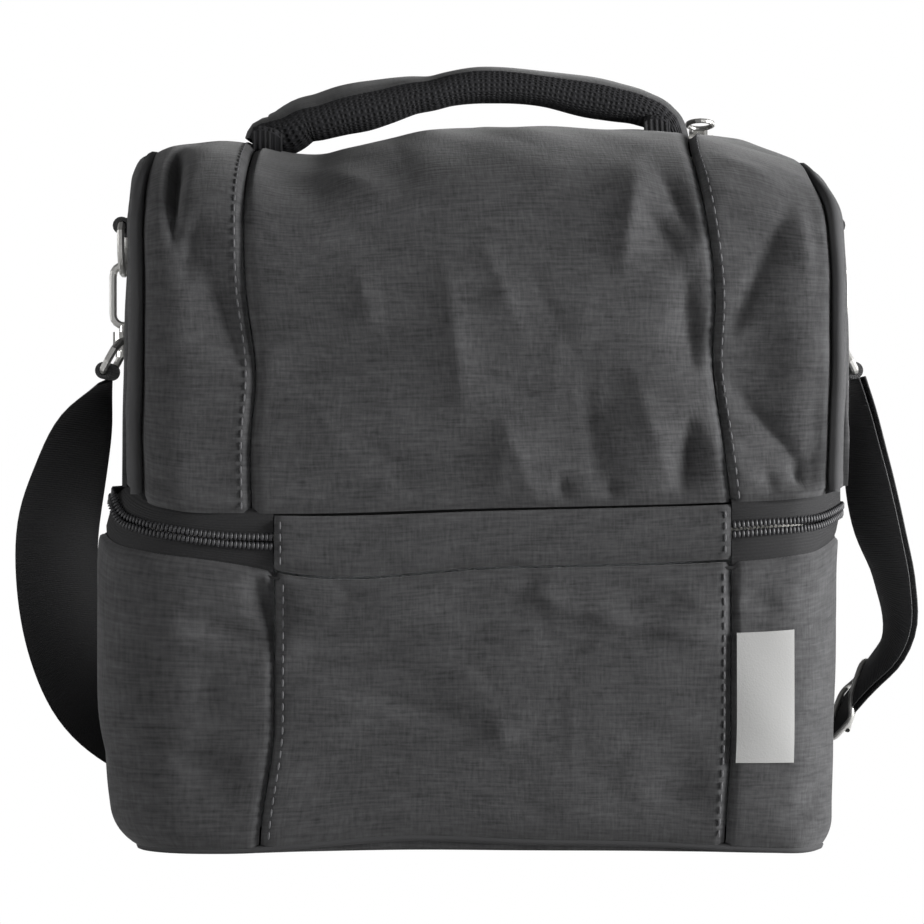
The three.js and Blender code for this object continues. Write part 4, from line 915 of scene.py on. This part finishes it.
class BAG_OT_upper(bpy.types.Operator):
    """Builds the upper compartment's cloth, end panels, piping, liner and topstitching"""

    bl_idname = "bag.upper"
    bl_label = "Upper Compartment"

    def execute(self, context):
        b = millimetres(context)
        skin = partial(upper, b)
        top = lid_top_run(b) - b.tape
        hem = lid_hinge_run(b)
        full = dome_run(b, 3)
        side = b.lid_half + b.tape
        inner = b.piping_at - 0.3
        edge = np.array([0, 0.6, 1.4, 2.6])
        front = dome_place(b, np.r_[edge, np.arange(4.5, top - 4, 1.6), top - edge[::-1]])
        rear = dome_place(b, np.linspace(top, full, 60))
        low_back = dome_place(b, np.linspace(hem + 0.6, full, 12))
        pieces = (
            ("upper_centre_panel", -b.seam + SEAM_GAP, b.seam - SEAM_GAP, 1.5, front, (1.9, 1.9, 1.7, 1.0)),
            ("upper_left_panel", -inner, -b.seam - SEAM_GAP, 1.4, front, (2.0, 1.9, 1.7, 1.0)),
            ("upper_right_panel", b.seam + SEAM_GAP, inner, 1.4, front, (1.9, 2.0, 1.7, 1.0)),
            ("upper_left_strip", -inner, -side, 2.0, rear, (2.0, 1.0, 0, 1.2)),
            ("upper_right_strip", side, inner, 2.0, rear, (1.0, 2.0, 0, 1.2)),
            ("upper_back_panel", -side + SEAM_GAP, side - SEAM_GAP, 3.0, low_back, (1.0, 1.0, 0.8, 1.2)),
        )
        for name, start, end, step, places, rolls in pieces:
            across = stations(start, end, step, 0.45)
            settle(dome_cloth(b, name, across, places, rolls, b.cloth, "heather_canvas"), "upper")
        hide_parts("upper_foam")

        loop = dome_place(b, np.linspace(0, full, 260))
        sunk = 0.9 - 2.4 * smooth(loop, 1.1, 1.35) * (1 - smooth(loop, 1.7, 1.9))
        for name, sign in SIDES:
            line, normal = path_on(skin, sign * b.piping_at, loop, sunk)
            settle(loft(f"{name}_piping", tube_rings(line, normal, b.piping), "piping"), "upper")
            settle(self.end_panel(b, name, sign, loop), "upper")

        places = dome_place(b, np.linspace(0.5, top, 200))
        columns = (-b.seam - 3.4, b.seam + 3.2)
        settle(topstitch(b, "upper_topstitch", skin, columns, places), "upper")
        self.liner(b, loop, side - 14, (dome_place(b, top + 14), dome_place(b, hem) - 0.05))
        return {"FINISHED"}

    def end_panel(self, b, name, sign, loop):
        """An end panel: from the piping round the edge, then in to the middle of the flat end."""
        steps = np.array([0.3, 1.2, 2.4, 4.0, 5.5, 6.8, 7.6, 8.0]) / 8
        stops = sign * (b.piping_at + steps * (b.width / 2 - b.piping_at))
        sinks = (2.0, 1.0, 0, 0, 0, 0, 0, 0)
        shares = (0.985, 0.95, 0.88, 0.76, 0.6, 0.44, 0.28, 0.12, 0.04, 0)
        # The left end hangs lower at its foot, over the waist that rises there.
        hang = 7.0 * (sign < 0)

        def rings(out):
            edge = [upper(b, x, loop, out - sink) for x, sink in zip(stops, sinks)]
            return np.stack(edge + [end_cap(b, sign, loop, r, out, hang) for r in shares])

        outer = rings(0.0)
        return sheet(f"{name}_end_panel", outer, rings(-b.cloth), outer[..., 1:], "heather_canvas", sign > 0)

    def liner(self, b, loop, half, span):
        """The liner, open under the lid over half to each side and a span of places, its ends and its rim."""
        reach = b.width / 2 - 8.2
        places = dome_place(b, np.linspace(1, dome_run(b, 3) - 1, 120))
        across, along = np.meshgrid(np.linspace(-reach, reach, 60), places, indexing="ij")
        hole = (np.abs(across) < half) & (along > span[0]) & (along < span[1])
        faces = grid_faces(*across.shape)
        faces = faces[~hole.reshape(-1)[faces].all(1)]
        uv = np.stack([across, dome_run(b, along)], -1)
        settle(add_piece("upper_liner", upper(b, across, along, -b.padding), faces, "liner", uv), "upper")
        for name, sign in SIDES:
            rings = [end_cap(b, sign, loop, r, -9.5) for r in np.linspace(0, 0.94, 12)]
            ends = np.stack(rings + [upper(b, sign * reach, loop, -b.padding)])
            settle(add_piece(f"upper_liner_{name}_end", ends, grid_faces(*ends.shape[:2]), "liner"), "upper")
        around = np.linspace(0, plan_length(b), 200)
        level, outward = plan(b, around)
        # Strips: the height and depth of the outer edge, then the height and depth of the inner one.
        strips = (
            ("upper_liner_skirt", "liner", 2.5, b.padding, -4.0, 14),
            ("upper_rim_cover", "zip_tape", 1.2, b.padding - 2, -10.9, 8.3),
        )
        for name, look, rise, depth, height, inward in strips:
            edge = lower(b, around, b.upper_base + rise, -depth)
            sill = level - outward * inward + np.array([0, 0, b.upper_base + height])
            settle(add_piece(name, np.stack([edge, sill]), grid_faces(2, 200), look), "upper")


def lid_top_run(b):
    """Distance along the dome to the lid's upper zip."""
    return dome_run(b, dome_depth(b, b.lid_top))


def lid_hinge_run(b):
    """Distance along the dome to the lid's hem."""
    return dome_run(b, 3 - (b.lid_hinge - b.upper_base) / (b.spring - b.upper_base))


def lid_path(b, offset, count=60):
    """The lid zip's line, moved out by offset, as x and q: up the left, across the top, down the right."""
    radius = b.lid_corner + offset
    half, top, hem = b.lid_half + offset, lid_top_run(b) - offset, lid_hinge_run(b)
    turn = np.linspace(0, np.pi / 2, 10)
    corner_x = half - radius + radius * np.sin(turn)
    corner_run = top + radius - radius * np.cos(turn)
    x = np.r_[np.linspace(0, half - radius, count, endpoint=False), corner_x, np.full(count, half)]
    run = np.r_[np.full(count, top), corner_run, np.linspace(top + radius, hem, count + 1)[1:]]
    return np.r_[-x[:0:-1], x], dome_place(b, np.r_[run[:0:-1], run])


class BAG_OT_lid(bpy.types.Operator):
    """Builds the upper compartment's lid with its zip"""

    bl_idname = "bag.lid"
    bl_label = "Lid"

    def execute(self, context):
        b = millimetres(context)
        skin = partial(upper, b)
        half = b.lid_half - b.tape
        places = dome_place(b, stations(lid_top_run(b) + b.tape, lid_hinge_run(b) - 0.3, 2.0))
        x = stations(-half, half, 2.5)
        panel = dome_cloth(b, "lid_panel", x, places, (1.2, 1.2, 1.2, 0.6), b.cloth, "heather_canvas")
        settle(panel, "lid", "lid_foam")
        x = np.linspace(-half, half, 40)
        settle(dome_cloth(b, "lid_liner", x, places, (), 1.0, "liner", rise=1.6 - b.padding), "lid")
        # The two sides of the zip: the body, the way out from the coil, and the tape's rows from the coil.
        sides = (("outer", "upper", 1, (0.7, 8, 16)), ("inner", "lid", -1, (0.7, 5, 9.5)))
        for name, body, sign, rows in sides:
            lines = [(*lid_path(b, sign * row), -1.0 - 0.06 * row) for row in rows]
            face = np.stack([skin(px, q, out) for px, q, out in lines])
            under = np.stack([skin(px, q, out - 0.9) for px, q, out in lines])
            uv = np.stack(np.broadcast_arrays(np.arange(face.shape[1]) * 3.0, np.array(rows)[:, None]), -1)
            settle(sheet(f"lid_zip_tape_{name}", face, under, uv, "zip_tape", sign < 0), body)
            row = path_on(skin, *lid_path(b, sign * 1.6), 0.1)
            settle(beads(f"lid_zip_coil_{name}", [row], b.tooth_pitch, (0.74, 1.6, 1.0), "zip_coil"), body)
        return {"FINISHED"}


class BAG_OT_handle(bpy.types.Operator):
    """Builds the padded handle: cloth over foam, with spacer mesh below"""

    bl_idname = "bag.handle"
    bl_label = "Padded Handle"

    def execute(self, context):
        b = millimetres(context)
        x = np.r_[np.linspace(-85.5, -70, 16), np.linspace(-68, 66, 90), np.linspace(67, 76.6, 16)]
        line, body = self.section(b, x)
        order = np.roll(np.arange(40), -5)
        girth = np.arange(40) * 2.2
        halves = (
            ("handle_cover", order[:11], "heather_canvas", ["handle_foam"]),
            ("handle_mesh", np.r_[order[10:], order[:1]], "spacer_mesh", []),
        )
        for name, part, look, others in halves:
            outer = body[:, part]
            inner = outer + (line[:, None] - outer) * 0.14
            uv = np.stack(np.broadcast_arrays(x[:, None], girth[: len(part)]), -1)
            settle(sheet(name, outer, inner, uv, look, flip=True), "upper", *others)
        # The folded ends, sewn to the crown: from x to x, from which depth, and how high they stand.
        for side, start, end, near, rise in (("left", -85.3, -74.5, -24, 8), ("right", 66.5, 76.4, -18, 6)):
            strip = stations(start, end, 1.2, 0.3)
            places = dome_depth(b, np.linspace(near, 3, 24))
            rolls = (1.2, 1.2, 1.6, 0)
            piece = dome_cloth(b, f"handle_end_{side}", strip, places, rolls, rise, "spacer_mesh", rise)
            settle(piece, "upper")
        return {"FINISHED"}

    def section(self, b, x):
        """The handle's middle line and its rounded sections of 40 points at stations x, twisted along it."""
        top = curve(
            x, (-85.5, 270.7), (-84, 273.8), (-79.6, 276.5), (-73.8, 278.8), (-68, 282.2), (-61, 284.2),
            (-52.7, 287.2), (-36, 289.9), (-26.5, 291.3), (-18, 291.9), (-12, 293.4), (-1.5, 295), (8, 295),
            (33, 292.6), (52, 289.2), (62.7, 286.1), (70.4, 281.5), (74.3, 276.5), (76.6, 269.5),
        )
        degrees = curve(
            x, (-85.5, 6), (-70, 13), (-45, 14), (-36, 12.5), (-18, 7), (0, 6), (30, 8), (76.6, 8)
        )
        thick = b.handle_thick * curve(
            x, (-85.5, 0.76), (-81, 1.07), (-76, 1.2), (-72, 1.2), (-68, 1.14), (-61, 1.16), (-52.7, 1.24),
            (-45, 1.26), (-36, 1.15), (-20, 0.97), (0, 1), (26, 0.98), (43, 1.1), (59, 1), (66, 0.93),
            (72, 0.86), (76.6, 0.64),
        )
        half = b.handle_width / 2 * curve(
            x, (-85.5, 0.9), (-72, 0.96), (-40, 1), (40, 1), (66, 0.96), (76.6, 0.88)
        )
        line = np.stack([x, np.zeros_like(x), top - thick / 2], -1)
        along = unit(np.gradient(line, axis=0))
        up = unit(np.cross(along, np.array([0.0, 1.0, 0.0])))
        up = up * np.sign(up[:, 2:])
        side = np.cross(up, along)
        twist = np.deg2rad(degrees)[:, None]
        across = side * np.cos(twist) + up * np.sin(twist)
        out = up * np.cos(twist) - side * np.sin(twist)
        turn = np.linspace(0, 2 * np.pi, 40, endpoint=False)
        wide = half[:, None] * power(np.cos(turn), 0.55)
        round_top = power(np.sin(turn), 0.7)
        crumple = 0.2 * np.sin(x / 6.1 + 0.8)[:, None] * np.clip(round_top, 0, 1)
        tall = thick[:, None] / 2 * round_top + crumple
        return line, line[:, None] + across[:, None] * wide[..., None] + out[:, None] * tall[..., None]


def strap_line(step):
    """The strap's middle line, its directions and its distances at equal steps: cubics through its route."""
    route = np.array(STRAP_ROUTE, float)
    points, lays = route[:, :3], unit(route[:, 3:])
    knots = run_along(points)
    fine = np.linspace(0, knots[-1], 1500)
    line, lay = (np.stack([curve(fine, *zip(knots, v[:, i])) for i in range(3)], -1) for v in (points, lays))
    runs = run_along(line)
    at = np.linspace(0, runs[-1], int(runs[-1] / step))
    line, lay = at_runs(at, runs, line), at_runs(at, runs, lay)
    along = unit(np.gradient(line, axis=0))
    across = unit(lay - along * (lay * along).sum(1, keepdims=True))
    return line, along, across, at


def ribbon(name, b, line, across, face, bow, runs):
    """Webbing along a line: a flat section with rounded edges, bowed to one side by bow at its middle."""
    w = np.sin(np.linspace(-1, 1, 15) * np.pi / 2)
    half = 0.5 - 0.4 * w**8
    outline = np.concatenate([np.stack([w, half], 1), np.stack([w, -half], 1)[::-1]])
    wide = b.strap_width / 2 * outline[:, 0]
    high = b.strap_thick * outline[:, 1] + bow[:, None] * (1 - outline[:, 0] ** 2)
    rings = line[:, None] + across[:, None] * wide[:, None] + face[:, None] * high[..., None]
    uv = np.stack(np.broadcast_arrays(wide + 40, runs[:, None]), -1)
    return settle(loft(name, rings, "webbing", uv), "strap")


class BAG_OT_strap(bpy.types.Operator):
    """Builds the shoulder strap and its doubled end"""

    bl_idname = "bag.strap"
    bl_label = "Shoulder Strap"

    def execute(self, context):
        b = millimetres(context)
        line, along, across, runs = strap_line(4.0)
        face = np.cross(along, across)
        bow = curve(runs, (0, 0), (40, -2), (120, -5), (200, -3), (260, 0), (480, 0), (600, 2), (runs[-1], 0))
        strap = ribbon("strap_webbing", b, line, across, face, bow, runs)
        # The second ply leaves the first just after the slide and lies over it from there.
        held = np.argmin(np.linalg.norm(line - np.array(STRAP_ROUTE[ADJUSTER_POINT][:3]), axis=1)) + 1
        late = runs > runs[held]
        ply = line[late] + face[late] * (2.4 * smooth(runs[late], runs[held], runs[held] + 10))[:, None]
        second = ribbon("strap_return", b, ply, across[late], face[late], bow[late], runs[late])
        sleeves = [self.sleeve(b, name, sign) for name, sign in SIDES]
        slide = self.slide(line[held], np.stack([along[held], across[held], face[held]]))
        return {"FINISHED"}

    def sleeve(self, b, name, sign):
        """The webbing's end, folded round the bar of its ring: a tube along Y."""
        places = np.linspace(-0.5, 0.5, 9) * b.strap_width
        turn, along = np.meshgrid(np.linspace(0, 2 * np.pi, 25), places, indexing="ij")
        x, z = sign * STRAP_BAR[0], STRAP_BAR[1]
        outer, inner = (np.stack([x + r * np.cos(turn), along, z + r * np.sin(turn)], -1) for r in (3.3, 1.8))
        uv = np.stack([along + 40, turn * 3], -1)
        return settle(sheet(f"strap_sleeve_{name}", outer, inner, uv, "webbing"), "strap")

    def slide(self, place, axes):
        """The three-bar slide at a place: a wire loop round the webbing and a bar across its middle."""
        turn = np.linspace(0, 2 * np.pi, 72, endpoint=False)
        end, edge = np.cos(turn), np.sin(turn)
        loop = np.stack([power(end, 0.4) * 10, power(edge, 0.4) * 18.4, (3.4 + 1.2 * end) * end**2], -1)
        bar = np.stack([np.zeros(20), np.linspace(-17.6, 17.6, 20), np.full(20, -1.9)], -1)
        rings = [tube_rings(path @ axes + place, axes[2], 1.1) for path in (loop, bar)]
        points = np.concatenate([ring.reshape(-1, 3) for ring in rings])
        faces = [grid_faces(72, 10, wrap=True, loop=True), grid_faces(20, 10, wrap=True) + 720]
        return settle(add_piece("strap_adjuster", points, np.concatenate(faces), "nickel"), "strap")


class BAG_OT_hardware(bpy.types.Operator):
    """Gives the hooks, rings, sliders and other solid pieces their finishes"""

    bl_idname = "bag.hardware"
    bl_label = "Hardware Finishes"

    def execute(self, context):
        metal = ("d_ring_left", "d_ring_right", "snap_hook", "hook_gate", "strap_ring", "slider", "puller")
        words = [(word, "nickel") for word in metal] + [("tab", "webbing"), ("liner", "liner")]
        for name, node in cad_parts.items():
            look = next((look for word, look in words if word in name), None)
            if look and not node.hide_render:
                node.data.materials.clear()
                node.data.materials.append(finish(look))
        return {"FINISHED"}


class BAG_OT_stage(bpy.types.Operator):
    """Sets the pale floor, the studio lights and the camera"""

    bl_idname = "bag.stage"
    bl_label = "Studio"

    def execute(self, context):
        self.floor(context)
        self.world(context)
        self.lamp("key", (1.9, -0.55, 0.4), 0.7, 105)
        self.lamp("fill", (-1.8, -0.6, 0.3), 1.2, 27)
        self.lamp("front", (-0.3, -2.2, 0.4), 1.4, 2.6)
        self.lamp("back", (0.5, 2.2, 0.6), 1.4, 9)
        camera = bpy.data.objects.new("camera", bpy.data.cameras.new("camera"))
        context.collection.objects.link(camera)
        camera.location = (-0.0065, -1.3825, 0.143)
        camera.rotation_euler = (np.pi / 2, 0, 0)
        camera.data.lens = 139.8
        camera.data.sensor_width = 36
        context.scene.camera = camera
        context.scene.view_settings.view_transform = "Standard"
        return {"FINISHED"}

    def floor(self, context):
        """A wide floor that reads as white to the camera."""
        points = np.array([(-1, -1, 0), (1, -1, 0), (1, 1, 0), (-1, 1, 0)], float) * 30000 + (0, 0, -0.3)
        n = Nodes("floor")
        seen = n.add("ShaderNodeLightPath").outputs["Is Camera Ray"]
        shade = n.mix(seen, rgba(context.scene.bag_colours.floor), (0, 0, 0, 1))
        n.coat(shade, 1.0, 0.0, Emission_Color=(1, 1, 1, 1), Emission_Strength=seen)
        add_mesh("floor_look", points, [[0, 1, 2, 3]], n.material)

    def world(self, context):
        """White to the camera, and an even grey for the light that fills the shadows."""
        world = bpy.data.worlds.new("studio")
        world.use_nodes = True
        tree = world.node_tree
        sky = next(n for n in tree.nodes if n.type == "BACKGROUND")
        path = tree.nodes.new("ShaderNodeLightPath")
        level = tree.nodes.new("ShaderNodeMapRange")
        level.inputs["To Min"].default_value = 0.105
        tree.links.new(path.outputs["Is Camera Ray"], level.inputs["Value"])
        tree.links.new(level.outputs["Result"], sky.inputs["Strength"])
        sky.inputs["Color"].default_value = (1, 1, 1, 1)
        context.scene.world = world

    def lamp(self, name, place, size, watts):
        """A square soft light that looks at the bag's middle."""
        data = bpy.data.lights.new(name, "AREA")
        data.size = size
        data.energy = watts
        lamp = bpy.data.objects.new(name, data)
        bpy.context.collection.objects.link(lamp)
        lamp.location = place
        x, y, z = np.array((0, 0, 0.14)) - np.array(place)
        lamp.rotation_euler = (np.arctan2(np.hypot(x, y), -z), 0, np.arctan2(x, -y) + np.pi)


class BAG_PT_panel(bpy.types.Panel):
    """The bag's sizes, colours and building steps"""

    bl_idname = "BAG_PT_panel"
    bl_label = "Lunch Bag"
    bl_space_type = "VIEW_3D"
    bl_region_type = "UI"
    bl_category = "Lunch Bag"

    def draw(self, context):
        for group in (context.scene.bag_sizes, context.scene.bag_colours):
            box = self.layout.box()
            for name in type(group).__annotations__:
                box.prop(group, name)
        for operator in OPERATORS:
            self.layout.operator(operator.bl_idname)


OPERATORS = (
    BAG_OT_lower, BAG_OT_waist, BAG_OT_upper, BAG_OT_lid,
    BAG_OT_handle, BAG_OT_strap, BAG_OT_hardware, BAG_OT_stage,
)
CLASSES = (BagSizes, BagColours, *OPERATORS, BAG_PT_panel)


def register():
    for cls in CLASSES:
        bpy.utils.register_class(cls)
    bpy.types.Scene.bag_sizes = PointerProperty(type=BagSizes)
    bpy.types.Scene.bag_colours = PointerProperty(type=BagColours)


def unregister():
    del bpy.types.Scene.bag_colours
    del bpy.types.Scene.bag_sizes
    for cls in reversed(CLASSES):
        bpy.utils.unregister_class(cls)


def main():
    register()
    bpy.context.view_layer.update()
    for operator in OPERATORS:
        group, name = operator.bl_idname.split(".")
        getattr(getattr(bpy.ops, group), name)()


if __name__ == "__main__":
    main()
